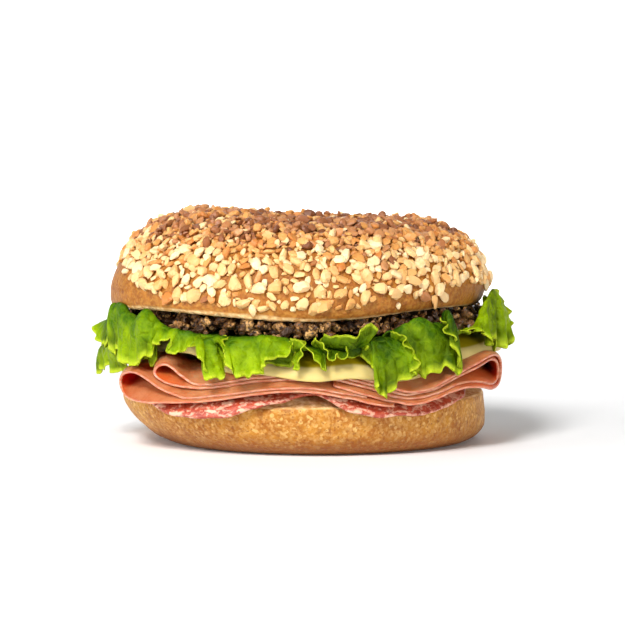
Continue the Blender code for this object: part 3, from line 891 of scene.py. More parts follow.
@dataclass(frozen=True)
class SalamiFinish:
    """Dark red salami with long pale flecks of fat, more of them towards the rim."""

    name: str = "salami_finish"
    red: Colour = colour(182, 76, 46)
    deep: Colour = colour(152, 48, 24)
    fat: Colour = colour(232, 184, 154)

    def material(self) -> Material:
        """Flecks are the middles of some stretched and warped cells, more of them at the rim, and streaks.

        Returns:
            The material.
        """
        paint = Paint(self.name)
        place = paint.place()
        bent = paint.bent(paint.place((0.75, 1.0, 2.2)), 0.3, 4.0, 7.0)
        cell = paint.cells(bent, 3.4)
        spot = paint.between(cell.outputs["Distance"], 0.6, 0.3)
        chosen = paint.add("SeparateColor", Color=cell.outputs["Color"]).outputs[1]
        share = paint.maths("ADD", 0.3, paint.maths("MULTIPLY", paint.mark("rim"), 0.22))
        kept = paint.maths("LESS_THAN", chosen, share)
        meat = paint.effect(Effect.MOTTLE, place, Size=1.5, Dark=self.deep, Light=self.red)
        streak = paint.between(paint.noise(bent, 2.4, 4.0), 0.5, 0.62)
        spots = paint.maths("MULTIPLY", spot, kept)
        flecks = paint.maths("MAXIMUM", spots, paint.maths("MULTIPLY", streak, 0.7))
        grain = paint.effect(Effect.GRAIN, place, Size=1.0)
        return paint.finish(
            Base_Color=paint.cover(meat, self.fat, flecks, 0.9),
            Roughness=0.34,
            Normal=paint.bump(grain, 0.3),
            Subsurface_Weight=0.2,
            Subsurface_Radius=(1.0, 0.3, 0.2),
            Subsurface_Scale=0.001,
            Coat_Weight=0.15,
            Coat_Roughness=0.2,
        )


@dataclass(frozen=True)
class HamFinish:
    """Cooked ham: pink at its cut edge and tan-orange on its faces, with deep orange painted inside a fold
    for the glow of light in there.
    """

    name: str = "ham_finish"
    face: Colour = colour(172, 98, 56)
    face_light: Colour = colour(188, 122, 80)
    edge: Colour = colour(188, 102, 72)
    edge_light: Colour = colour(220, 156, 130)
    # Painted light: the deep orange glow inside a fold.
    inside: Colour = colour(206, 88, 26)

    def material(self) -> Material:
        """Mark rim is 1 at the cut edge, and the fold mark is 1 on the inner side of a fold, where deep
        orange is painted for the glow of light inside it.

        Returns:
            The material.
        """
        paint = Paint(self.name)
        place = paint.place()
        face = paint.effect(Effect.MOTTLE, place, Size=5.0, Dark=self.face, Light=self.face_light)
        # Painted glow of light on the inner side of each fold.
        face = paint.cover(face, self.inside, paint.mark("fold"), 0.75)
        along = paint.place((0.35, 0.35, 1.6))
        edge = paint.effect(Effect.MOTTLE, along, Size=0.9, Dark=self.edge, Light=self.edge_light)
        shade = paint.cover(face, edge, paint.mark("rim"))
        grain = paint.effect(Effect.GRAIN, place, Size=1.2)
        return paint.finish(
            Base_Color=shade,
            Roughness=0.36,
            Specular_IOR_Level=0.4,
            Normal=paint.bump(grain, 0.15),
            Subsurface_Weight=0.6,
            Subsurface_Radius=(1.0, 0.4, 0.2),
            Subsurface_Scale=0.004,
        )


@dataclass(frozen=True)
class CheeseFinish:
    """Soft pale cheese: cream at its cut edge, and on its faces a darker yellow, which is its own colour
    darkened by painted shade from the lettuce above.
    """

    name: str = "cheese_finish"
    # Painted shade: both face colours are darkened for the shade of the lettuce above.
    face: Colour = colour(150, 128, 2)
    face_light: Colour = colour(168, 146, 8)
    edge: Colour = colour(206, 184, 116)

    def material(self) -> Material:
        """Mark rim is 1 at the cut edge.

        Returns:
            The material.
        """
        paint = Paint(self.name)
        place = paint.place()
        # Faces: yellow darkened by painted shade.
        face = paint.effect(Effect.MOTTLE, place, Size=12.0, Dark=self.face, Light=self.face_light)
        edge = paint.between(paint.mark("rim"), 0.982, 0.998)
        grain = paint.effect(Effect.GRAIN, place, Size=2.0)
        return paint.finish(
            Base_Color=paint.cover(face, self.edge, edge),
            Roughness=0.45,
            Specular_IOR_Level=0.15,
            Normal=paint.bump(grain, 0.06),
            Subsurface_Weight=0.3,
            Subsurface_Radius=(1.0, 0.8, 0.2),
            Subsurface_Scale=0.0025,
        )


@dataclass(frozen=True)
class LettuceFinish:
    """Frilly lettuce: deep green inwards, deep green painted into the hollows between blisters as shade,
    bright towards the edge with a pale line painted along it as a highlight, and a net of pale veins.
    """

    name: str = "lettuce_finish"
    deep: Colour = colour(16, 44, 0)
    blade: Colour = colour(64, 100, 0)
    bright: Colour = colour(134, 160, 0)
    # Painted highlight: the thin pale line along each leaf's edge.
    rim: Colour = colour(176, 192, 40)
    vein: Colour = colour(120, 150, 20)

    def material(self) -> Material:
        """Mark reach grows from the stem to the edge, edge is 1 there, and the hollow mark is 1 between
        blisters, where deep green is painted as shade.

        Returns:
            The material.
        """
        paint = Paint(self.name)
        place = paint.place()
        uneven = paint.maths("MULTIPLY", paint.maths("SUBTRACT", paint.noise(place, 7.0), 0.5), 0.9)
        reach = paint.maths("ADD", paint.mark("reach"), uneven)
        shade = paint.ramp(reach, {0.36: self.deep, 0.68: self.blade, 1.0: self.bright})
        # Painted shade: deep green laid into the hollows between the blisters.
        shade = paint.cover(shade, self.deep, paint.mark("hollow"), 0.7)
        bent = paint.bent(place, 0.25, 3.0, 5.0)
        net = paint.cells(bent, 4.2, feature="DISTANCE_TO_EDGE").outputs["Distance"]
        shade = paint.cover(shade, self.vein, paint.between(net, 0.12, 0.0), 0.14)
        # Painted highlight along the leaf's edge.
        shade = paint.cover(shade, self.rim, paint.between(paint.mark("edge"), 0.955, 1.0))
        grain = paint.effect(Effect.GRAIN, place, Size=1.3)
        ribs = paint.bump(paint.between(net, 0.0, 0.4), 0.45)
        return paint.finish(
            Base_Color=shade,
            Roughness=0.5,
            Specular_IOR_Level=0.08,
            Normal=paint.bump(grain, 0.16, ribs),
            Subsurface_Weight=0.25,
            Subsurface_Radius=(0.7, 1.0, 0.05),
            Subsurface_Scale=0.001,
        )


# The roll


def sampled(points: Array, count: int, weight: Callable[[Array], Array]) -> Array:
    """Samples of a line of radius and height, spaced evenly by weighted length.

    Args:
        points: Closely spaced radius and height pairs.
        count: Number of samples.
        weight: Samples wanted per millimetre, relative to one another, at radius and height pairs.

    Returns:
        The samples, as radius and height pairs.
    """
    steps = np.linalg.norm(np.diff(points, axis=0), axis=1) * weight((points[1:] + points[:-1]) / 2)
    length = np.concatenate([[0], np.cumsum(steps)])
    share = np.linspace(0, length[-1], count)
    return np.stack([np.interp(share, length, points[:, k]) for k in (0, 1)], axis=1)


def spline(points: Array, steps: int, closed: bool) -> Array:
    """Points on a Catmull-Rom curve: cubics through the points, sloped as their neighbours lie.

    Args:
        points: Points that the curve passes through.
        steps: Samples on each stretch.
        closed: Whether the curve returns to its first point.

    Returns:
        The samples, with the first point repeated at the end of a closed curve.
    """
    before, after = (points[-1:], points[:2]) if closed else (points[:1], points[-1:])
    padded = np.concatenate([before, points, after])[:, None, :]
    a, b, c, d = padded[:-3], padded[1:-2], padded[2:-1], padded[3:]
    t = np.linspace(0, 1, steps, endpoint=False)[None, :, None]
    cubic = (2 * b + (c - a) * t + (2 * a - 5 * b + 4 * c - d) * t**2 + (3 * b - a - 3 * c + d) * t**3) / 2
    return np.concatenate([cubic.reshape(-1, points.shape[1]), points[:1] if closed else points[-1:]])


def quarter(centre: tuple[float, float], width: float, height: float, power: float, rising: bool) -> Array:
    """Points of a quarter superellipse: cosine and sine of a quarter turn, each to the power 2 over power.

    Args:
        centre: Radius and height of the curve's centre.
        width: Reach from the centre along the radius, negative towards the hole.
        height: Reach upwards.
        power: 2 for an ellipse and more for a squarer curve.
        rising: Whether the curve runs from its side to its top.

    Returns:
        Closely spaced radius and height pairs.
    """
    turn = np.linspace(0, math.pi / 2, 60)
    across, up = np.cos(turn).clip(0) ** (2 / power), np.sin(turn).clip(0) ** (2 / power)
    points = np.stack([centre[0] + width * across, centre[1] + height * up], axis=1)
    return points if rising else points[::-1]


def carried(line: Array, segments: int) -> tuple[Array, Array, Array]:
    """A closed line's radii and heights as columns, and the angles once round the axis as a row."""
    angle = np.linspace(0, FULL_TURN, segments, endpoint=False)[None, :]
    return line[:-1, :1], line[:-1, 1:], angle


def closed_ring(grid: Array, **marks: Array) -> Shape:
    """A closed ring from a grid that wraps both ways, with marks at its points.

    Args:
        grid: Grid of points.
        marks: Values at the points, by the marks' names.

    Returns:
        The shape.
    """
    quads = grid_quads(*grid.shape[:2], wrap_rows=True, wrap_columns=True)
    flat = {name: values.ravel() for name, values in marks.items()}
    return Shape(grid.reshape(-1, 3), quads, marks=flat).outward()


@dataclass
class LowerRoll:
    """Lower half of the roll, with a soft foot and a dented crumb face that dips at the rim."""

    segments: int = 430
    steps: int = 150
    dent_size: float = 17.0
    dent_depth: float = 0.45
    grain_size: float = 2.2
    grain_depth: float = 0.12
    pore_size: float = 2.0
    pore_depth: float = 0.45
    finish: CrustFinish = CrustFinish(
        name="lower_crust",
        tan=colour(188, 128, 44),
        deep=colour(160, 94, 24),
        pale=colour(218, 174, 102),
        toasted=colour(128, 66, 14),
        spots=0.8,
    )

    def outline(self) -> Array:
        """Closed line of radius and height: outer side, cut face that sags at the rim, hole and foot.

        Returns:
            Closely spaced radius and height pairs.
        """
        side = [(47.5, 1.3), (51.2, 4.2), (53.6, 8.6), (STACK.rim_radius, STACK.rim_height), (54.3, 14.8)]
        radii = np.array([53.0, 49.5, 45.0, 30.0, 16.0])
        cut = np.stack([radii, STACK.bottom_height - STACK.sag(radii)], axis=1)
        hole = [(10.8, 17.2), (9.2, 12.0), (9.6, 6.0)]
        foot = [(13.5, 2.4), (19.0, 0.6), (27.0, 0.0), (42.0, 0.0)]
        return spline(np.concatenate([side, cut, hole, foot]), 12, closed=True)

    def density(self, places: Array) -> Array:
        """How closely the outline is sampled: sparsely in the hole, closely outside and most at the rim."""
        return 0.25 + smooth(42, 47, places[:, 0]) * (1 + 0.5 * smooth(12, 15, places[:, 1]))

    def shape(self) -> Shape:
        """The closed outline is carried round the axis, leaned along X at the foot, and roughened by noise.

        Returns:
            The shape, with marks crumb, 1 on the cut face, and toast, 1 near the table.
        """
        line = sampled(self.outline(), self.steps + 1, self.density)
        radius, height, angle = carried(line, self.segments)
        shift = STACK.foot_lean(height) * smooth(16, 40, radius)
        grid = stack_points(radius * np.cos(angle) + shift, radius * np.sin(angle), height + 0 * angle)
        out = -grid_normals(grid, wrap_rows=True, wrap_columns=True)
        noise = SoftNoise(21)
        crumb = smooth(0.3, 0.6, out[..., 2]) * smooth(13.6, 15.2, grid[..., 2])
        grain = self.grain_depth * noise.layered(grid + 50, self.grain_size)
        dents = self.dent_depth * noise.layered(grid, self.dent_size) + grain
        pores = self.pore_depth * np.minimum(noise.layered(grid, self.pore_size, 2), 0.1)
        outer = smooth(0.0, 4.0, grid[..., 2])
        grid = grid + out * (dents * outer * (1 - crumb) + pores * crumb)[..., None]
        grid[..., 2] = np.maximum(grid[..., 2], 0.0)
        toast = 1 - smooth(1.0, 9.0, grid[..., 2] + 1.5 * noise.at(grid, 9))
        return closed_ring(grid, crumb=crumb, toast=toast)

    def make(self, table: Table) -> None:
        """Puts the lower half in place."""
        table.put("lower_half", self.shape(), self.finish.material(), ("bread_bottom",))


class NutKind(Enum):
    """The three roasts of the chopped nuts, each with its colours from light to dark."""

    PALE = (colour(238, 210, 164), colour(230, 190, 130), colour(212, 158, 90))
    GOLDEN = (colour(222, 170, 102), colour(208, 146, 76), colour(188, 116, 50))
    TOASTED = (colour(196, 138, 86), colour(164, 102, 56), colour(112, 62, 30))


@dataclass
class UpperRoll:
    """Upper half of the roll: a domed ring that leans a little, with an arched cut face and chopped nuts."""

    radius: float = 56.6
    shoulder: float = 5.5
    crest_radius: float = 32.0
    hole_radius: float = 9.2
    hole_shoulder: float = 3.0
    height: float = 27.0
    lean: float = 0.12
    shift: float = -1.3
    right_fall: float = 2.0
    back_fall: float = 2.0
    segments: int = 420
    steps: int = 150
    dent_size: float = 19.0
    dent_depth: float = 0.5
    grain_size: float = 2.4
    grain_depth: float = 0.1
    crumb_angle: float = 228.0
    nut_tries: int = 46000
    nut_rows: int = 400
    nut_size: float = 0.56
    cluster_angle: float = 310.0
    finish: CrustFinish = CrustFinish(
        name="upper_crust",
        tan=colour(162, 100, 32),
        deep=colour(138, 78, 18),
        pale=colour(190, 136, 58),
        toasted=colour(118, 60, 16),
        spots=0.3,
    )
    nut_noise: SoftNoise = field(default_factory=lambda: SoftNoise(41))

    def crust_line(self) -> Array:
        """Line of radius and height over the crust: lower edge, outer side, crest and down the hole.

        Returns:
            Closely spaced radius and height pairs.
        """
        width, rise = self.radius - self.crest_radius, self.height - self.shoulder
        outer = quarter((self.crest_radius, self.shoulder), width, rise, 1.88, True)
        width, rise = self.hole_radius - self.crest_radius, self.height - self.hole_shoulder
        inner = quarter((self.crest_radius, self.hole_shoulder), width, rise, 2.2, False)
        edge = np.array([(54.4, 0.0), (55.5, 0.5), (56.3, 2.2), (self.radius, self.shoulder)])
        return np.concatenate([spline(edge, 8, closed=False)[:-1], outer, inner[1:]])

    def place(self, radius: Array, height: Array, angle: Array) -> Array:
        """Places on the leaning roll, with the cut face lifted by its arches near the cut only.

        The upper part falls off to the right and to the back, and low dents of noise move the crust.

        Args:
            radius: Distance from the roll's axis before it leans.
            height: Height above the cut.
            angle: Angle round the axis.

        Returns:
            The points.
        """
        x = radius * np.cos(angle) + self.shift + self.lean * (height - self.height / 3)
        y = radius * np.sin(angle)
        lift = STACK.cut_lift(x, y) * (1 - smooth(0, 15, height))
        crown = smooth(0, -30, x) - self.right_fall * smooth(-15, 55, x)
        lift = lift + (crown - self.back_fall * smooth(-5, 40, y)) * height / self.height
        dents = self.dent_depth * SoftNoise(33).layered(stack_points(x, y, height), self.dent_size)
        out = smooth(0.3, 6, height) * dents / np.maximum(radius, 20) * smooth(12, 30, radius)
        z = STACK.cut_height + height + lift + dents * smooth(3, 20, height)
        return stack_points(x * (1 + out), y * (1 + out), z)

    def density(self, places: Array) -> Array:
        """How closely the outline is sampled: most on the outer crust, less in the hole and under it."""
        return 0.35 + smooth(30, 50, places[:, 0]) * smooth(-0.2, 0.6, places[:, 1])

    def shape(self) -> Shape:
        """The crust's line, closed along the underside, is carried round the axis and grained by noise.

        Returns:
            The shape, with marks crumb, 1 on the cut face and its torn edge, and toast, high on the crest.
        """
        under = np.array([(10.0, 0.3), (12.0, 0.0), (22.0, 0.0), (54.4, 0.0)])
        line = sampled(np.concatenate([self.crust_line(), under]), self.steps + 1, self.density)
        radius, height, angle = carried(line, self.segments)
        grid = self.place(radius, height, angle)
        out = -grid_normals(grid, wrap_rows=True, wrap_columns=True)
        noise = SoftNoise(22)
        shown = smooth(0.2, 0.9, np.cos(angle - math.radians(self.crumb_angle)))
        rim = (0.75 + 0.6 * noise.at(grid, 11)) * shown
        crumb = 1 - smooth(0.1, 0.6, height + 0 * angle - rim)
        crumb = np.maximum(crumb * smooth(40, 54, radius), 1 - smooth(0, 0.15, height + 0 * angle))
        grain = self.grain_depth * noise.layered(grid, self.grain_size)
        grain = grain + 0.25 * crumb * noise.layered(grid, 1.4, 2)
        grid = grid + out * grain[..., None]
        toast = 0.75 * smooth(16, 26, height + 2 * noise.at(grid, 10))
        return closed_ring(grid, crumb=crumb, toast=toast)

    def bare_height(self, angle: Array) -> Array:
        """Lowest height of the nuts above the cut at each angle: 3 mm in front, and higher elsewhere.

        Args:
            angle: Angles round the axis, in radians.

        Returns:
            A height for each angle.
        """
        knots = (0, 25, 70, 110, 150, 185, 200, 216, 232, 288, 302, 330, 345, 360)
        levels = (7, 5, 4, 8, 9, 14, 12.5, 6.5, 3.2, 3.2, 9.5, 9.5, 6, 7)
        return np.interp(np.degrees(angle) % 360, knots, levels)

    def nut_places(self, rng: np.random.Generator) -> tuple[Array, Array, Array]:
        """Places on the crust, drawn evenly and kept by a share that grows from the bare edge upwards.

        One cluster of nuts hangs lower than its neighbours, near cluster_angle.

        Args:
            rng: Seeded generator.

        Returns:
            Points, outward directions, and heights above the cut.
        """
        line = sampled(self.crust_line(), self.nut_rows, lambda places: np.ones(len(places)))
        index = rng.integers(4, self.nut_rows - 15, self.nut_tries)
        angle = rng.uniform(0, FULL_TURN, self.nut_tries)
        radius, height = line[index, 0], line[index, 1]
        here = self.place(radius, height, angle)
        ahead = self.place(*line[index + 3].T, angle)
        beside = self.place(radius, height, angle + 0.4 / np.maximum(radius, 5))
        out = unit(np.cross(beside - here, ahead - here))
        low = self.bare_height(angle) + 1.3 * self.nut_noise.at(here, 7)
        near = np.exp(-(((np.degrees(angle) - self.cluster_angle) / 6) ** 2))
        cluster = near * smooth(2.5, 4, height) * (height < 13)
        cover = smooth(-0.8, 1.4, height - low) * (0.6 + 0.4 * smooth(7, 14, height)) + 0.8 * cluster
        keep = (rng.random(self.nut_tries) < radius / self.radius) & (rng.random(self.nut_tries) < cover)
        return here[keep], out[keep], height[keep]

    def clear_places(self, rng: np.random.Generator, here: Array, length: Array, crowd: Array) -> list[int]:
        """Picks places, roughly the largest nuts first, that are clear of those picked before.

        Args:
            rng: Seeded generator.
            here: Points on the crust.
            length: Length of the nut at each point.
            crowd: 0 where nuts keep their full distance, and 1 where they crowd together.

        Returns:
            Numbers of the points.
        """
        chosen: list[int] = []
        for candidate in np.argsort(-length + rng.uniform(0, 2.6, len(here))):
            if chosen:
                gap = np.linalg.norm(here[chosen] - here[candidate], axis=1)
                room = (length[chosen] + length[candidate]) * (0.36 - 0.1 * crowd[candidate])
                if np.any(gap < room):
                    continue
            chosen.append(int(candidate))
        return chosen

    def nuts(self, table: Table) -> None:
        """Spreads the nuts over the crust and makes one piece of each roast: the higher up, the darker.

        Args:
            table: Where the pieces go.
        """
        rng = np.random.default_rng(12)
        here, out, height = self.nut_places(rng)
        crowd = smooth(10, 21, height)
        length = (rng.gamma(6.5, 0.35, len(here)) + 0.4).clip(1.2, 4.5) * (1 - 0.2 * crowd)
        chosen = self.clear_places(rng, here, length, crowd)
        here, out, height, length = here[chosen], out[chosen], height[chosen], length[chosen]
        count = len(here)
        log.info("%d nuts", count)
        width = length * rng.uniform(0.55, 0.85, count)
        depth = length * rng.uniform(0.38, 0.62, count)
        upper = smooth(12, 22, height)
        tilt = unit(out + rng.normal(0, 1, (count, 3)) * (0.2 + 0.3 * upper)[:, None])
        axes = turned_axes(tilt, rng.uniform(0, FULL_TURN, count))
        sizes = np.stack([length, width, depth], axis=1) * self.nut_size
        raised = rng.uniform(0.15, 0.38, count) + rng.uniform(0, 0.35, count) * upper
        places = here + out * (depth * raised)[:, None]
        kinds = [chunk(rng, 8) for _ in range(24)]
        scorched = smooth(18, 26, height + 2.6 * self.nut_noise.at(here, 8))
        toasted = rng.random(count) < 0.02 + 0.68 * scorched
        browned = smooth(14, 24, height + 3 * self.nut_noise.at(here + 30, 9))
        golden = ~toasted & (rng.random(count) < 0.16 + 0.6 * browned)
        tone = rng.random(count)
        masks = {NutKind.TOASTED: toasted, NutKind.GOLDEN: golden, NutKind.PALE: ~toasted & ~golden}
        for kind, mask in masks.items():
            shape = scatter(kinds, places[mask], axes[mask], sizes[mask], tone[mask])
            name = f"nuts_{kind.name.lower()}"
            table.put(name, shape, NutFinish(name, kind.value).material(), sharp_angle=22)

    def make(self, table: Table) -> None:
        """Puts the upper half and its nuts in place."""
        table.put("upper_half", self.shape(), self.finish.material(), ("bread_top",))
        self.nuts(table)


# Fillings


def read_table(table: Array, row: Array, column: Array) -> Array:
    """Blend of the four table entries round each place between rows and columns.

    Args:
        table: Entries, rows by columns by values.
        row: Row of each place, with its part of the way to the next.
        column: Column of each place, likewise.

    Returns:
        The values at each place.
    """
    low, left = np.floor(row).astype(int).clip(0, len(table) - 2), np.floor(column).astype(int)
    part, share = (row - low)[..., None], (column - left)[..., None]
    first = table[low, left] * (1 - share) + table[low, left + 1] * share
    second = table[low + 1, left] * (1 - share) + table[low + 1, left + 1] * share
    return first * (1 - part) + second * part


@dataclass
class Salami:
    """Four thin round slices that lie on the lower half and, at the front, hang down over its rim.

    A slice's place is X, Y and radius. Each slice also has the numbers of those that it lies on.
    """

    thickness: float = 1.15
    gap: float = 0.55
    places: tuple[tuple[float, float, float], ...] = (
        (-14.0, -22.5, 34.6), (14.5, -22.2, 34.4), (31.5, 9.5, 28.0), (-24.0, 20.0, 28.5),
    )
    lies_on: tuple[tuple[int, ...], ...] = ((), (0, 2), (), (0, 2))
    lift: float = 1.1
    wave_share: float = 0.6
    curl: float = 0.55
    hang_start: float = 51.0
    hang_full: float = 63.0
    hang_angle: float = 82.0
    longest: float = 66.0

    def curve(self) -> tuple[Array, Array, Array]:
        """The line that a slice follows outwards, for bends from a small share to the whole.

        The downward angle is that of the bread's sag, and further out an S curve up to hang_angle. Radius
        and drop are the sums of its cosine and sine along the line.

        Returns:
            Distances along the slice; the bend shares; and a table of radius, drop and angle with a row
            for each share and a column for each distance.
        """
        along, shares = np.linspace(0, self.longest, 265), np.linspace(0.2, 1.0, 9)
        sagging = np.arctan(2 * STACK.sag_rate * np.maximum(0, along - STACK.sag_start))
        hanging = math.radians(self.hang_angle) * smooth(self.hang_start, self.hang_full, along)
        angle = shares[:, None] * np.maximum(sagging, hanging)
        radius = np.cumsum(np.cos(angle), axis=1) * along[1] - along[1]
        drop = np.cumsum(np.sin(angle), axis=1) * along[1]
        return along, shares, np.stack([radius, drop, angle], axis=-1)

    def surface(self, index: int, x: Array, y: Array, offset: Array) -> Array:
        """Bends a flat slice down over the rim of the bread, above any slices that it lies on.

        The bend is full at the front and about half elsewhere, where the slice ends before the rim.

        Args:
            index: Number of the slice.
            x: X on the flat slice.
            y: Y on the flat slice.
            offset: Distance from the slice's middle, along its normal.

        Returns:
            The points.
        """
        flat = np.hypot(x, y)
        lift = np.zeros_like(flat)
        for under in self.lies_on[index]:
            centre_x, centre_y, slice_radius = self.places[under]
            distance = np.hypot(x - centre_x, y - centre_y) - slice_radius
            lift = np.maximum(lift, (1 - smooth(2.5, 10.0, distance)) * (self.lift + self.gap))
        along, shares, table = self.curve()
        row = (0.55 + 0.45 * smooth(0, 30, -y) - shares[0]) / (shares[1] - shares[0])
        column = (flat / along[1]).clip(0, len(along) - 1.001)
        radius, drop, angle = np.moveaxis(read_table(table, row, column), -1, 0)
        uneven = SoftNoise(60 + index).layered(stack_points(x, y, 0 * x), 7, 2)
        out = offset + lift + self.curl * smooth(46, 57, flat) * uneven
        level = STACK.bottom_height + 1.5 * self.gap + self.thickness / 2
        height = level + self.wave_share * STACK.wave(x, flat) - drop + out * np.cos(angle)
        reach = (radius + out * np.sin(angle)) / np.maximum(flat, 1e-6)
        return stack_points(x * reach, y * reach, height)

    def outline(self, index: int, angle: Array) -> Array:
        """Radius of slice number index: round, with low waves and a torn edge of small noise.

        Args:
            index: Number of the slice.
            angle: Angles round the slice.

        Returns:
            A radius for each angle.
        """
        radius = self.places[index][2]
        wavy = 1 + 0.01 * np.sin(3 * angle + index) + 0.006 * np.sin(7 * angle)
        rim = stack_points(radius * np.cos(angle), radius * np.sin(angle), 0 * angle)
        return radius * wavy + 0.9 * SoftNoise(70 + index).layered(rim, 8)

    def make(self, table: Table) -> None:
        """Puts the four slices in place.

        Args:
            table: Where the slices go.
        """
        material = SalamiFinish().material()
        for index, place in enumerate(self.places):
            outline, surface = partial(self.outline, index), partial(self.surface, index)
            shape = disc(place[:2], outline, surface, self.thickness, rings=40, segments=240)
            table.put(f"salami_slice_{index + 1}", shape, material, (f"salami_{index + 1}",))


@dataclass(frozen=True)
class HamSlice:
    """One folded slice: how far its edges are tucked in, and its path of X, layer and loose height."""

    node: str
    tuck: float
    path: tuple[tuple[float, float, float], ...]


@dataclass
class Ham:
    """Four folded slices, nested in pairs at each end of the sandwich."""

    thickness: float = 0.86
    reach: float = 58.0
    half_widths: tuple[float, float] = (60.5, 63.0)
    skew: float = 0.15
    rows: int = 190
    columns: int = 96
    slices: tuple[HamSlice, ...] = (
        HamSlice("ham_left_low", 0.0, (
            (26, 0, 0.1), (12, 0, 0), (0, 0, 0), (-18, 0, 0), (-32, 0, 0.1), (-41, 0, 0.5), (-47.5, 0, 0.7),
            (-51.5, 0, 1.3), (-53.6, 0.3, 2.8), (-54.2, 0.5, 4.6), (-53.2, 0.8, 6.4), (-50.5, 1, 7.7),
            (-47.5, 1, 7.6), (-44, 1, 5.6), (-40.5, 1, 3.2), (-36.5, 1, 1.2), (-32, 1, 0.1), (-12, 1, 0),
            (8, 1, 0), (18, 1, 0),
        )),
        HamSlice("ham_left_high", 1.4, (
            (3, 2, 0), (-12, 2, 0), (-25, 2, 0.2), (-32, 2, 0.8), (-37.2, 2, 2.1), (-40.7, 2, 3.7),
            (-42.6, 2.4, 5.2), (-41.8, 2.8, 6.7), (-39.6, 3, 7.1), (-37.6, 3, 5.9), (-34.6, 3, 3),
            (-32, 3, 1), (-28, 3, 0.2), (-20, 3, 0), (-8, 3, 0),
        )),
        HamSlice("ham_right_low", 0.6, (
            (5, 3.35, 0), (9, 3.5, 0), (14, 3.5, 0), (19.5, 3.3, 0), (24, 2.7, 0), (27.5, 2.2, 0),
            (31, 1.6, 0.2), (35, 1.05, 1), (39, 1, 2.2), (45, 1, 3.9), (51, 1, 3.8), (55.5, 1, 2.8),
            (57.8, 1.2, 3.2), (58.8, 1.6, 5), (58.3, 2, 7.2), (56.6, 2, 8.5), (54.6, 2, 8.8),
            (51.6, 2, 7.7), (47.2, 2, 5.9), (41.5, 2, 3.8), (37, 2, 1.9), (31, 2.7, 0.2), (27.5, 3.3, 0),
            (24, 3.9, 0), (19.5, 4.45, 0), (12.5, 4.65, 0),
        )),
        HamSlice("ham_right_high", 0.2, (
            (9, 2.3, 0), (14, 2.2, 0), (19.5, 2.05, 0), (24, 1.5, 0), (27.5, 1.1, 0), (31, 0.5, 0.1),
            (35, 0, 1), (39, 0, 2.2), (45, 0, 3.9), (51, 0, 3.8), (56, 0, 2.7), (59, 0.2, 3.2),
            (60.2, 1.2, 5.4), (59.8, 2.2, 7.8), (57.6, 2.8, 9.3), (54.6, 3, 9.3), (51, 3, 7.9),
            (46.5, 3, 6), (41, 3, 3.8), (37, 3.05, 2), (31, 3.75, 0.2), (27.5, 4.4, 0), (24, 5, 0),
            (19.5, 5.6, 0), (14, 5.8, 0), (9, 5.3, 0), (5, 4.5, 0), (1.5, 3.5, 0), (-4, 3.05, 0),
        )),
    )

    def edges(self, x: Array) -> tuple[Array, Array]:
        """Y of the front and the back edge at each X: half a wide oval each, with slow waves.

        Args:
            x: X along the slice.

        Returns:
            Y of the front edge and of the back edge.
        """
        half_width = np.where(x < 0, *self.half_widths)
        half = self.reach * np.sqrt(np.maximum(0.02, 1 - (x / half_width) ** 2))
        return -half + 0.6 * np.sin(0.16 * x), 0.93 * half - 0.7 * np.sin(0.13 * x + 1)

    def middle(self, ham: HamSlice, seed: int) -> tuple[Array, Array]:
        """Grid of a slice's middle surface.

        The path in X and height is a smooth curve. It is carried from the front edge to the back edge,
        and its loose height is full at both edges and less in the middle, where the roll presses on it.
        Rows lie closer at the fold, and columns at both edges.

        Args:
            ham: The slice.
            seed: Seed of its own unevenness.

        Returns:
            The grid of points, and how much each lies in the fold, negative for a fold at the left end.
        """
        path = np.array(ham.path, float)
        path[:, 1] = STACK.ham_level(path[:, 1])
        fine = spline(path, 16, closed=False)
        fold_x = fine[np.argmax(np.abs(fine[:, 0])), 0]
        steps = np.linalg.norm(np.diff(fine, axis=0), axis=1)
        weight = steps / (1.2 + 0.06 * np.abs(fine[1:, 0] - fold_x))
        length = np.concatenate([[0], np.cumsum(weight)])
        share = np.linspace(0, length[-1], self.rows)
        x, height, loose = (np.interp(share, length, fine[:, k])[:, None] for k in range(3))
        noise = SoftNoise(seed)
        front, back = self.edges(x)
        line = stack_points(x[:, 0], height[:, 0] * 3, loose[:, 0] * 2)
        front = front + ham.tuck + 0.55 * noise.layered(line, 9)[:, None]
        back = back - ham.tuck - 0.55 * noise.layered(line + 40, 9)[:, None]
        turn = np.linspace(-1, 1, self.columns)[None, :]
        across = 0.5 + 0.5 * np.sign(turn) * (1 - (1 - np.abs(turn)) ** 1.9)
        y = front + (back - front) * across
        spread = np.abs(2 * across - 1)
        rise = height + loose * (0.45 + 0.55 * smooth(0.45, 1.0, spread))
        z = STACK.ham_floor(x + 0 * y, y) + rise
        z = z + 0.1 * noise.at(stack_points(x + 0 * y, y, rise), 5) * smooth(0.6, 1.0, spread)
        in_fold = (1 - smooth(1.0, 4.0, np.abs(np.abs(fold_x) - np.abs(x)) / 5)) * smooth(0.5, 3.0, loose)
        skewed = x - self.skew * np.sign(x) * (y + 24) * smooth(28, 58, np.abs(x))
        return stack_points(skewed, y, z), np.sign(fold_x) * in_fold + 0 * y

    def make(self, table: Table) -> None:
        """Puts the four slices in place.

        Args:
            table: Where the slices go.
        """
        material = HamFinish().material()
        for number, ham in enumerate(self.slices):
            middle, in_fold = self.middle(ham, 80 + number)
            shape = slab(middle, self.thickness)
            side, faces = shape.marks["side"], in_fold.ravel()
            # The inner side of each fold, where the finish paints a glow of light.
            fold = np.concatenate([faces, -faces, np.zeros(len(side) - 2 * len(faces))])
            shape.marks = {"rim": 1 - smooth(0.7, 0.98, np.abs(side)), "fold": np.maximum(fold, 0)}
            table.put(f"{ham.node}_slice", shape, material, (ham.node,))


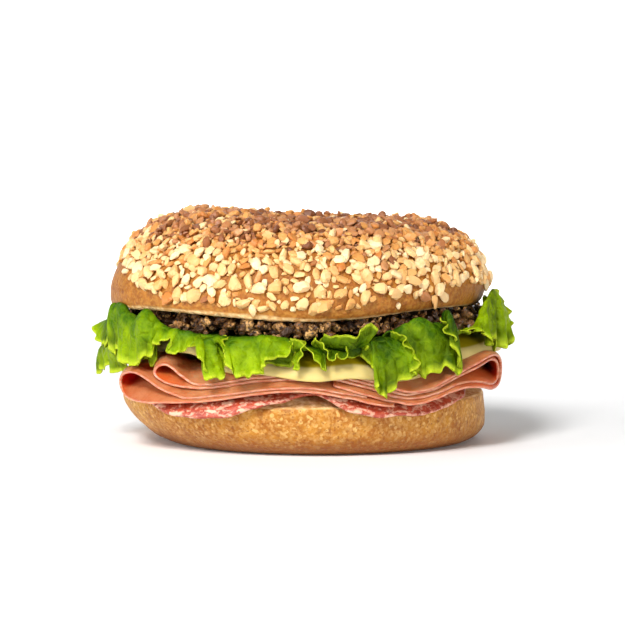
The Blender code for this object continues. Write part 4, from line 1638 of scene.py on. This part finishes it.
@dataclass
class Cheese:
    """One soft square slice, with its corners to the front, the back and both sides."""

    reach: float = 57.0
    roundness: float = 1.72
    thickness: float = 3.0
    clearance: float = 0.4
    half_ham: float = 0.375
    left_rise: float = 4.2
    left_spread: float = 1.3
    middle_rise: float = 3.3
    middle_place: float = 15.0
    right_rise: float = 4.6
    left_droop: float = 5.0
    front_droop: float = 1.1
    centre: tuple[float, float] = (3.0, -2.6)

    def height(self, x: Array, y: Array) -> Array:
        """Height of the slice's middle: over the ham's layers, and over the ham's folds and ends.

        Args:
            x: X on the slice.
            y: Y on the slice.

        Returns:
            A height for each place.
        """
        left_fold = self.left_rise + self.left_spread * smooth(16, 36, np.abs(y))
        over_left = left_fold * (1 - smooth(-34, -20, x)) * smooth(-60, -47, x)
        past_middle = (x - self.middle_place) / np.where(x < self.middle_place, 12, 14)
        over_ends = self.middle_rise * np.exp(-(past_middle**2))
        over_right = self.right_rise * smooth(28, 46, x)
        droop = self.left_droop * (1 - smooth(-62, -54, x)) + self.front_droop * smooth(48, 60, -y)
        above_ham = STACK.ham_level(3) + self.half_ham + self.clearance + self.thickness / 2
        return STACK.ham_floor(x, y) + above_ham + over_left + over_ends + over_right - droop

    def outline(self, angle: Array) -> Array:
        """Radius of a square with soft corners on the axes, from powers of cosine and sine.

        Args:
            angle: Angles round the slice.

        Returns:
            A radius for each angle.
        """
        power = self.roundness
        across = np.abs(np.cos(angle)) ** power + np.abs(np.sin(angle)) ** power
        rim = stack_points(40 * np.cos(angle), 40 * np.sin(angle), 0 * angle)
        return self.reach / across ** (1 / power) + 0.25 * SoftNoise(90).layered(rim, 8)

    def surface(self, x: Array, y: Array, offset: Array) -> Array:
        """Points of the slice at offset above its middle."""
        return stack_points(x, y, self.height(x, y) + offset)

    def make(self, table: Table) -> None:
        """Puts the slice in place."""
        shape = disc(self.centre, self.outline, self.surface, self.thickness, 44, 300, edge_crowding=1.4)
        table.put("cheese_slice", shape, CheeseFinish().material(), ("cheese",))


@dataclass(frozen=True)
class Leaf:
    """One leaf.

    Its base holds its first and last angle and its height where it leaves the stack. The points of its free
    edge are angle, distance from the roll's axis and height. Crown says how high it arches past the rim,
    at even steps from its first angle to its last, and pale makes it lighter all over.
    """

    name: str
    nodes: tuple[str, ...]
    base: tuple[float, float, float]
    edge: tuple[tuple[float, float, float], ...]
    crown: tuple[float, ...] = (3.0, 3.0)
    frill: float = 0.5
    frill_length: float = 5.0
    pale: float = 0.0


def running_mean(values: Array, window: int) -> Array:
    """The mean of window neighbours at each row, with the first and the last row repeated past the ends.

    Args:
        values: Rows of numbers.
        window: Number of rows averaged.

    Returns:
        As many rows.
    """
    window += 1 - window % 2
    padded = np.pad(values, ((window // 2 + 1, window // 2), (0, 0)), mode="edge")
    total = np.cumsum(padded, axis=0)
    return (total[window:] - total[:-window]) / window


@dataclass
class Lettuce:
    """Frilly leaves that lie between the cheese and the dark filling and hang or stand past the bread."""

    thickness: float = 0.5
    start_radius: float = 17.0
    bend_radius: float = 55.6
    inner_rows: int = 14
    outer_rows: int = 46
    column_width: float = 0.36
    tooth: float = 0.5
    blister: float = 0.75
    billow: float = 1.2
    calm: float = 5.0
    lobe: float = 0.45
    leaves: tuple[Leaf, ...] = (
        Leaf("leaf_front_low", ("lettuce_front_low",), (256, 292, 34), (
            (258.5, 58, 28.5), (263, 59, 28.5), (266, 59, 29), (267, 59, 31), (267, 60, 34.5),
            (267.5, 61.5, 37.5), (269, 62.5, 37.5), (270, 63.5, 36), (270, 64, 33), (269, 63.5, 30.5),
            (268.5, 63, 28), (267.5, 62, 28.5), (267.5, 60, 31), (268, 59, 34.5), (269.5, 60, 37),
            (271, 62, 35), (273, 64, 32), (274.5, 64, 29), (275.5, 63.5, 28.5), (276.5, 63, 28.5),
            (275.5, 61, 30.5), (274, 59, 33), (272.5, 58.5, 35.5), (273.5, 60.5, 37.5), (274, 62.5, 37),
            (275.5, 64, 35.5), (276.5, 64, 33.5), (277, 63.5, 32), (279, 62.5, 33), (280.5, 62.5, 32),
            (281.5, 62, 33.5), (280.5, 61, 35), (279.5, 59, 35), (280.5, 57.5, 32), (284.5, 57.5, 30.5),
            (289, 57, 31),
        ), crown=(1.0, 1.0), frill_length=4.0, pale=0.05),
        Leaf("leaf_back_low", ("lettuce_back_low",), (60, 118, 34), (
            (60, 59, 29), (68, 61, 27), (76, 60, 25), (84, 61.5, 27), (92, 60.5, 26), (100, 61.5, 24),
            (108, 60.5, 26), (118, 59, 29),
        ), crown=(2.0, 2.0), frill=1.5, frill_length=7.5),
        Leaf("leaf_left_under", (), (168, 224, 34), (
            (164, 58, 33.5), (168.5, 60, 29.5), (174.5, 61.5, 27), (177, 61, 25), (178, 62, 22.5),
            (179, 63, 20), (184, 61, 21.5), (187, 59.5, 22.5), (192, 58.5, 22), (197.5, 57.5, 22.5),
            (203, 57, 24.5), (209, 57, 26), (215, 57, 27), (219.5, 57.5, 26.5), (222.5, 57.5, 27.5),
        ), crown=(1.0, 1.0), frill_length=4.0, pale=0.05),
        Leaf("leaf_left", ("lettuce_left",), (167, 247, 35.5), (
            (167.5, 57, 38), (171, 60, 35.5), (177.5, 63.5, 33.5), (180, 63, 32), (183.5, 62, 30),
            (189.5, 61.5, 29.5), (195.5, 61.5, 30.5), (198.5, 61, 29.5), (202, 60.5, 27), (207.5, 60.5, 26),
            (218, 62, 27), (221, 62, 28), (222, 61, 29), (222.5, 60, 31), (223, 59.5, 32.5),
            (225.5, 60, 33.5), (228.5, 61, 34), (230, 61, 35), (231.5, 62, 33.5), (230.5, 62.5, 32.5),
            (229.5, 62, 31.5), (232, 61, 30), (233, 60.5, 30.5), (234, 60, 31.5), (235, 59.5, 32),
            (238, 60, 33), (240.5, 60, 33.5), (242.5, 59.5, 34.5), (244.5, 59, 35.5), (246.5, 58.5, 36),
        ), crown=(0.0, 3.0, 20.0, 13.0, 3.0, 2.0), frill=0.6),
        Leaf("leaf_front_left", ("lettuce_front_left",), (236, 269, 35.5), (
            (248, 57, 36), (244.5, 58, 35), (242.5, 60, 33.5), (241.5, 61, 33.5), (240.5, 62.5, 32.5),
            (240.5, 63, 31), (242, 63.5, 29.5), (243, 63.5, 28), (243, 63, 26), (242.5, 63, 25),
            (243, 63, 23.5), (244, 62, 24), (245, 61.5, 25), (246.5, 61.5, 24.5), (247.5, 61, 25),
            (247.5, 59.5, 27), (246.5, 58.5, 31), (247.5, 58.5, 34), (248.5, 60.5, 36.5), (248.5, 62.5, 36),
            (248.5, 64, 34), (249, 65, 31.5), (249.5, 65, 28.5), (250.5, 64.5, 27), (251.5, 64, 26),
            (252.5, 64, 25), (253.5, 63.5, 25.5), (254.5, 63, 25.5), (255.5, 63, 24.5), (256.5, 62.5, 26),
            (259, 62, 26), (259.5, 62.5, 28.5), (259.5, 63, 30), (260.5, 63, 31), (262.5, 62.5, 31),
            (264.5, 63, 31), (266, 63, 32), (267, 62, 34.5), (266.5, 60, 36), (265.5, 58, 37),
        ), frill=0.7, frill_length=4.5, pale=0.06),
        Leaf("leaf_front_right_under", (), (294, 318, 36), (
            (299.5, 58, 30.5), (302.5, 59, 28), (305, 60, 26), (305.5, 61, 24.5), (306.5, 61.5, 25.5),
            (309, 62, 25.5), (311.5, 62.5, 25.5), (313, 63, 25), (316, 63, 24), (316, 63.5, 26.5),
            (314.5, 64, 28), (313.5, 64, 30), (312, 64, 32), (313, 64, 34), (312, 63.5, 36),
            (311, 62, 37.5), (312.5, 61, 39), (312, 60, 40.5),
        ), crown=(8.0, 17.0), frill=0.6, frill_length=6.0),
        Leaf("leaf_front_right", ("lettuce_front_right",), (274, 298, 35.5), (
            (275, 58, 37), (275.5, 60, 38), (278.5, 62, 38.5), (281, 63, 38.5), (284, 63, 38.5),
            (285.5, 63, 39.5), (286.5, 62, 41), (288, 61.5, 41.5), (289, 61.5, 40.5), (289.5, 60, 38.5),
            (288.5, 58.5, 36), (287, 58.5, 33), (288, 59.5, 30.5), (289, 60.5, 29), (290.5, 61.5, 28),
            (291.5, 62, 25.5), (290, 62.5, 23.5), (289, 63, 22.5), (291, 63, 20), (293, 63, 18),
            (293.5, 62.5, 20.5), (296, 62, 22.5), (297.5, 62, 24), (299.5, 62, 24.5), (301, 62.5, 24.5),
            (300, 63, 26.5), (301.5, 63.5, 27.5), (301.5, 64, 29.5), (300.5, 64, 31.5), (298.5, 64, 33),
            (297, 63.5, 35), (297, 62.5, 37), (296, 60.5, 38), (295, 58.5, 37.5),
        ), crown=(4.0, 4.0), frill=0.7),
        Leaf("leaf_right", ("lettuce_right",), (318, 378, 35.5), (
            (314, 58.5, 38), (317.5, 59.5, 36.5), (324.5, 59.5, 36), (330.5, 60, 35), (334, 60.5, 32.5),
            (336, 60.5, 30.5), (341.5, 60.5, 31), (345.5, 62, 30.5), (350, 62.5, 30.5), (353.5, 63, 32),
            (356.5, 62, 34), (359, 63, 35.5), (363, 62, 38), (365.5, 62.5, 40.5), (368.5, 61, 42),
            (371.5, 60.5, 43.5), (374.5, 60, 43), (377.5, 58.5, 41),
        ), crown=(18.0, 26.0, 17.0, 25.0, 13.0, 23.0, 14.0, 20.0), frill=1.3, frill_length=6.0, pale=0.45),
        Leaf("leaf_back_right", ("lettuce_back_right",), (18, 74, 35.5), (
            (17, 58, 37), (24, 61, 33), (30, 62, 28), (37, 61, 26), (44, 62.5, 27), (51, 61.5, 24),
            (58, 62, 27), (66, 60.5, 28), (74, 58, 32),
        ), crown=(4.0, 4.0), frill=1.6, frill_length=8.0),
        Leaf("leaf_back_left", ("lettuce_back_left",), (101, 166, 35.5), (
            (100, 58, 33), (108, 61, 29), (116, 62, 25), (124, 60.5, 27), (132, 62, 24), (140, 62.5, 23),
            (148, 61, 27), (157, 61.5, 30), (166, 59, 34),
        ), crown=(4.0, 4.0), frill=1.6, frill_length=8.0),
    )

    def free_edge(self, leaf: Leaf) -> tuple[Array, Array]:
        """A smooth curve through the points of a leaf's free edge, with a sample for each column.

        Args:
            leaf: The leaf.

        Returns:
            The samples, evenly spaced, and their distances along the edge.
        """
        turns, radii, heights = np.array(leaf.edge, float).T
        knots = stack_points(radii * np.cos(np.radians(turns)), radii * np.sin(np.radians(turns)), heights)
        line = spline(knots, 24, closed=False)
        length = np.concatenate([[0], np.cumsum(np.linalg.norm(np.diff(line, axis=0), axis=1))])
        arc = np.linspace(0, length[-1], int(length[-1] / self.column_width))
        return np.stack([np.interp(arc, length, line[:, k]) for k in range(3)], axis=1), arc

    def turns(self, leaf: Leaf, edge: Array) -> Array:
        """Angle in radians at which each column leaves the stack.

        It goes from the base's first to its last angle, a quarter evenly and the rest as the angle of the
        free edge grows, which is averaged over a ninth of the columns.

        Args:
            leaf: The leaf.
            edge: Its free edge.

        Returns:
            An angle for each column.
        """
        first, last, _ = leaf.base
        swept = np.maximum.accumulate(np.unwrap(np.arctan2(edge[:, 1], edge[:, 0])))
        swept = running_mean(swept[:, None], max(3, len(edge) // 9))[:, 0]
        swept = (swept - swept[0]) / (swept[-1] - swept[0])
        return np.radians(first + (last - first) * (0.75 * swept + 0.25 * np.linspace(0, 1, len(edge))))

    def outside(
        self, leaf: Leaf, across: Array, edge: Array, trail: Array, noise: SoftNoise
    ) -> tuple[Array, Array]:
        """Grid of the part past the bread's rim.

        Each column is a quadratic curve from the rim to the calm edge, which is the free edge averaged
        along its length: rim, control point and edge point weighted by (1-s)^2, 2s(1-s) and s^2. Outwards
        the curve is moved more and more by what the free edge differs from the calm one. The control point
        stands out past the rim, above it where the edge hangs and below it where the edge stands up. Teeth
        lengthen some columns past the edge.

        Args:
            leaf: The leaf.
            across: Level direction of each column.
            edge: Free edge.
            trail: Place in the noise of each column.
            noise: The leaf's own noise.

        Returns:
            Points, and the share s of the way from the rim to the edge.
        """
        level, window = leaf.base[2], int(self.calm / self.column_width)
        calm = running_mean(running_mean(edge, window), window)
        rim = across * self.bend_radius + np.array([0, 0, level])
        span = np.linalg.norm(calm - rim, axis=1)
        steps = np.linspace(0, 1, len(leaf.crown))
        crown = np.interp(np.linspace(0, 1, len(edge)), steps, leaf.crown)
        crown = crown * (1 + self.lobe * noise.at(trail + 60, 5.5))
        drop = level - calm[:, 2]
        rise = crown * smooth(-1.0, 6.0, drop) - 3.5 * smooth(0.0, 3.5, -drop)
        beside = unit((across + unit(calm * (1, 1, 0))) / 2)
        control = beside * (self.bend_radius + 2.2 + 0.3 * span)[:, None]
        control = control + stack_points(0 * rise, 0 * rise, level + rise)
        tooth = self.tooth * (noise.at(trail + 9, 3.0) + 0.4 * noise.at(trail + 19, 1.4))
        even = np.linspace(0, 1, self.outer_rows)[:, None]
        s = (even + even**4 * tooth / np.maximum(span, 4))[..., None]
        points = (1 - s) ** 2 * rim + 2 * s * (1 - s) * control + s**2 * calm
        return points + smooth(0.3, 1.0, s) * (edge - calm), s[..., 0]

    def middle(self, leaf: Leaf, seed: int) -> tuple[Array, Array, Array]:
        """Grid of a leaf's middle surface, from the stem end outwards and from its first to its last angle.

        Inside the bread the leaf is a slightly swelling plane. Past the rim, frills are sines of the
        distance along the edge that grow outwards, and blisters and billows are noise. Both are along the
        leaf's normal.

        Args:
            leaf: The leaf.
            seed: Seed of its own unevenness.

        Returns:
            Points; reach from 0 at the stem to 1 at the edge; and the hollow mark, which is 1 between the
            blisters, where the finish paints shade.
        """
        noise = SoftNoise(seed)
        edge, arc = self.free_edge(leaf)
        trail = stack_points(arc, 0 * arc + seed, 0 * arc)
        turn = self.turns(leaf, edge)
        across = stack_points(np.cos(turn), np.sin(turn), 0 * turn)
        inner = np.linspace(0, 1, self.inner_rows, endpoint=False)[:, None] ** 0.8
        radius = self.start_radius + (self.bend_radius - self.start_radius) * inner
        swell = 0.6 * np.sin(radius / 6) * np.sin(4 * turn + radius / 14) * (1 - inner**4)
        inside = across[None] * radius[..., None] + stack_points(0 * swell, 0 * swell, leaf.base[2] + swell)
        outside, share = self.outside(leaf, across, edge, trail, noise)
        grid = np.concatenate([inside, outside])
        free = np.concatenate([0 * swell, share])
        phase = FULL_TURN * arc / leaf.frill_length + 4 * noise.at(trail + 33, 9)
        frill = leaf.frill * free**5 * (np.sin(phase + 0.7 * free) + 0.4 * np.sin(1.7 * phase + 1))
        blister = self.blister * noise.layered(grid, 4.6, 3) + self.billow * noise.at(grid + 20, 10)
        blister = blister * smooth(0.0, 0.35, free)
        grid = grid + grid_normals(grid) * (frill + blister)[..., None]
        grid[..., 2] -= STACK.front_droop(grid[..., 0], grid[..., 1])
        reach = np.concatenate([0.35 * inner, 0.35 + 0.65 * np.linspace(0, 1, self.outer_rows)[:, None]])
        # The last value is 1 in the hollows between blisters, where the finish paints shade.
        return grid, reach + 0 * arc, 1 - smooth(-0.75, 0.45, blister)

    def make(self, table: Table) -> None:
        """Puts the leaves in place, each thinner towards its edge.

        Args:
            table: Where the leaves go.
        """
        material = LettuceFinish().material()
        for number, leaf in enumerate(self.leaves):
            middle, reach, hollow = self.middle(leaf, 100 + number)
            shape = slab(middle, self.thickness * (1 - 0.45 * smooth(0.6, 1, reach)), rim_steps=1)
            rim = np.maximum(shape.marks["u"][2 * reach.size :], 0.6)
            faces = np.tile(reach.ravel(), 2)
            shape.marks = {
                "reach": np.append(faces + leaf.pale, rim),
                "edge": np.append(faces, rim),
                # The hollows between blisters, where deep green is painted as shade.
                "hollow": np.append(np.tile(hollow.ravel(), 2), 0 * rim),
            }
            table.put(leaf.name, shape, material, leaf.nodes)


@dataclass
class Crumble:
    """The dark crumbly filling: a rough core with lumps and crumbs that spill past the bread's edge."""

    radius: float = 51.0
    end_inset: float = 2.5
    bottom: float = 37.2
    top: float = 40.3
    lumps: int = 1600
    edge_share: float = 0.9
    top_radius: float = 50.0
    lump_sizes: tuple[float, float] = (0.35, 1.7)
    clump_radius: float = 52.0
    clump_size: float = 6.0
    clump_reach: float = 1.8
    clump_drop: float = 1.4

    def outline(self, angle: Array) -> Array:
        """Radius of the core, with slow waves and slightly less at both ends."""
        waves = 1 + 0.015 * np.sin(4 * angle + 2) + 0.012 * np.sin(9 * angle)
        return self.radius * waves - self.end_inset * smooth(0.75, 1.0, np.abs(np.cos(angle)))

    def surface(self, x: Array, y: Array, offset: Array) -> Array:
        """Points of the core's uneven faces at offset above its middle."""
        bumps = 0.35 * SoftNoise(120).at(stack_points(x, y, 0 * x), 4)
        return stack_points(x, y, (self.bottom + self.top) / 2 + bumps + offset - STACK.front_droop(x, y))

    def crumbs(self) -> Shape:
        """Lumps of many sizes: most round the edge, in clumps that stand out and hang lower.

        Returns:
            The lumps as one shape.
        """
        rng = np.random.default_rng(7)
        angle = rng.uniform(0, FULL_TURN, self.lumps)
        edge = rng.random(self.lumps) < self.edge_share
        radius = self.outline(angle) + np.where(edge, rng.uniform(-1.6, 4.2, self.lumps), 0)
        radius = np.where(edge, radius, self.top_radius * np.sqrt(rng.random(self.lumps)))
        rim = self.clump_radius * stack_points(np.cos(angle), np.sin(angle), 0 * angle)
        clump = edge * SoftNoise(120).layered(rim, self.clump_size)
        radius = radius + self.clump_reach * clump
        size = rng.gamma(3.0, 0.27, self.lumps).clip(*self.lump_sizes)
        lowest = self.bottom - 0.9 - self.clump_drop * clump.clip(0)
        highest = np.maximum(self.top + 0.5 - size, self.bottom)
        height = np.where(edge, rng.uniform(lowest, highest), self.top - 0.4)
        x, y = radius * np.cos(angle), radius * np.sin(angle)
        places = stack_points(x, y, height + STACK.cut_lift(x, y) * smooth(self.bottom, self.top, height))
        axes = turned_axes(unit(rng.normal(size=(self.lumps, 3))), rng.uniform(0, FULL_TURN, self.lumps))
        sizes = size[:, None] * rng.uniform(0.6, 1.4, (self.lumps, 3))
        kinds = [chunk(rng, 9) for _ in range(12)]
        return scatter(kinds, places, axes, sizes, rng.random(self.lumps))

    def make(self, table: Table) -> None:
        """Puts the core and its crumbs in place as one piece.

        Args:
            table: Where the piece goes.
        """
        core = disc(
            centre=(0.0, 0.0),
            outline=self.outline,
            surface=self.surface,
            thickness=self.top - self.bottom - 0.8,
            rings=20,
            segments=180,
            edge_crowding=1.3,
        )
        core.marks = {"tone": np.full(len(core.points), 0.1)}
        shape, material = join([core, self.crumbs()]), CrumbleFinish().material()
        table.put("crumbly_filling", shape, material, ("crumble",), sharp_angle=50)


# Stage


@dataclass(frozen=True)
class Lamp:
    """A square lamp that faces the sandwich.

    Azimuth is degrees to the left of the front and elevation degrees up. Distance and size are in metres,
    and power is in watts.
    """

    name: str
    azimuth: float
    elevation: float
    distance: float
    size: float
    power: float

    def place(self, middle: Vector) -> Vector:
        """Where the lamp stands round the middle.

        Args:
            middle: The point that it faces.

        Returns:
            Its place.
        """
        turn, tilt = math.radians(self.azimuth), math.radians(self.elevation)
        away = Vector((-math.sin(turn) * math.cos(tilt), -math.cos(turn) * math.cos(tilt), math.sin(tilt)))
        return middle + away * self.distance


@dataclass
class Studio:
    """A white floor that curves up behind, soft light from the front left, and the camera, all in metres.

    The camera looks down by elevation at a point on the roll's axis, target_height above the table. There
    the picture is frame_width wide, and the lens is shifted so that the point falls on target_pixel.
    """

    distance: float = 1.2
    elevation: float = 5.0
    frame_width: float = 0.190
    sensor: float = 36.0
    image_pixels: float = 625.0
    target_pixel: tuple[float, float] = (303.5, 340.3)
    target_height: float = 0.03
    world_strength: float = 0.2
    lamps: tuple[Lamp, ...] = (
        Lamp("key", 20, 40, 1.5, 0.42, 24.0),
        Lamp("side", 65, 12, 1.3, 0.6, 9.5),
        Lamp("front", -38, 6, 1.5, 0.6, 11.0),
    )

    def floor(self) -> None:
        """A floor whose far side rises in a quarter circle."""
        turn = np.linspace(0, math.pi / 2, 16)
        bend, near, far, top, half = 0.8, -3.0, 1.6, 3.0, 4.0
        y = np.concatenate([[near], far + bend * np.sin(turn), [far + bend]])
        z = np.concatenate([[0.0], bend * (1 - np.cos(turn)), [top]])
        grid = stack_points(np.array([[-half, half]]), y[:, None], z[:, None])
        mesh = bpy.data.meshes.new("floor")
        mesh.from_pydata(grid.reshape(-1, 3).tolist(), [], grid_quads(len(y), 2)[:, ::-1].tolist())
        mesh.shade_smooth()
        paint = Paint("floor_finish")
        grey, white = (0.93, 0.93, 0.93), (0.95, 0.95, 0.95)
        shade = paint.effect(Effect.MOTTLE, paint.place(), Size=60.0, Dark=grey, Light=white)
        mesh.materials.append(paint.finish(Base_Color=shade, Roughness=0.75))
        floor = bpy.data.objects.new("floor", mesh)
        bpy.context.scene.collection.objects.link(floor)

    def light(
        self, name: str, size: float, power: float, place: Vector, aim: Vector, spread: float = 180
    ) -> None:
        """Adds a square lamp.

        Args:
            name: Its name.
            size: Length of its side.
            power: Watts.
            place: Where it stands.
            aim: What it faces.
            spread: Angle in degrees of the cone that it lights.
        """
        lamp = bpy.data.lights.new(name, "AREA")
        lamp.size = size
        lamp.energy = power
        lamp.spread = math.radians(spread)
        stand = bpy.data.objects.new(name, lamp)
        stand.location = place
        stand.rotation_euler = (aim - place).to_track_quat("-Z", "Y").to_euler()
        bpy.context.scene.collection.objects.link(stand)

    def world(self) -> None:
        """Even white light from all round."""
        world = bpy.data.worlds.new("studio")
        world.use_nodes = True
        background = world.node_tree.nodes["Background"]
        background.inputs["Color"].default_value = (1.0, 1.0, 1.0, 1.0)
        background.inputs["Strength"].default_value = self.world_strength
        bpy.context.scene.world = world

    def camera(self, middle: Vector) -> None:
        """The camera in front of the middle, with its lens shifted to the photo's frame.

        Args:
            middle: The point that it looks at.
        """
        lens = bpy.data.cameras.new("camera")
        lens.sensor_width = self.sensor
        lens.lens = self.sensor * self.distance / self.frame_width
        half = self.image_pixels / 2
        lens.shift_x = (half - self.target_pixel[0]) / self.image_pixels
        lens.shift_y = (self.target_pixel[1] - half) / self.image_pixels
        camera = bpy.data.objects.new("camera", lens)
        tilt = math.radians(self.elevation)
        camera.location = middle + Vector((0, -math.cos(tilt), math.sin(tilt))) * self.distance
        camera.rotation_euler = (math.pi / 2 - tilt, 0, 0)
        bpy.context.scene.collection.objects.link(camera)
        bpy.context.scene.camera = camera

    def make(self, table: Table) -> None:
        """Builds floor, lights, world and camera.

        Args:
            table: Gives the place of the roll's axis.
        """
        self.floor()
        middle = Vector((table.axis[0] * MM, table.axis[1] * MM, self.target_height))
        for lamp in self.lamps:
            self.light(lamp.name, lamp.size, lamp.power, lamp.place(middle), middle)
        behind, backdrop = Vector((0.0, 0.95, 0.8)), Vector((0.0, 1.0, 2.0))
        self.light("behind", 1.1, 7.5, behind, aim=Vector((0.0, 1.1, 0.0)), spread=100)
        self.light("backdrop", 1.6, 15.0, backdrop, aim=Vector((0.0, 2.4, 0.9)), spread=100)
        self.world()
        bpy.context.scene.view_settings.view_transform = "Standard"
        self.camera(middle)


def main() -> None:
    """Loads the frame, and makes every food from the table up."""
    logging.basicConfig(level=logging.INFO, format="%(name)s: %(message)s")
    for obj in list(bpy.data.objects):
        bpy.data.objects.remove(obj)
    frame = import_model()
    log.info("frame: %d nodes", len(frame["nodes"]))
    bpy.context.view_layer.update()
    table = Table()
    for food in (LowerRoll(), Salami(), Ham(), Cheese(), Lettuce(), Crumble(), UpperRoll()):
        food.make(table)
    Studio().make(table)
    bpy.context.view_layer.update()
    log.info("boxes written")


if __name__ == "__main__":
    main()
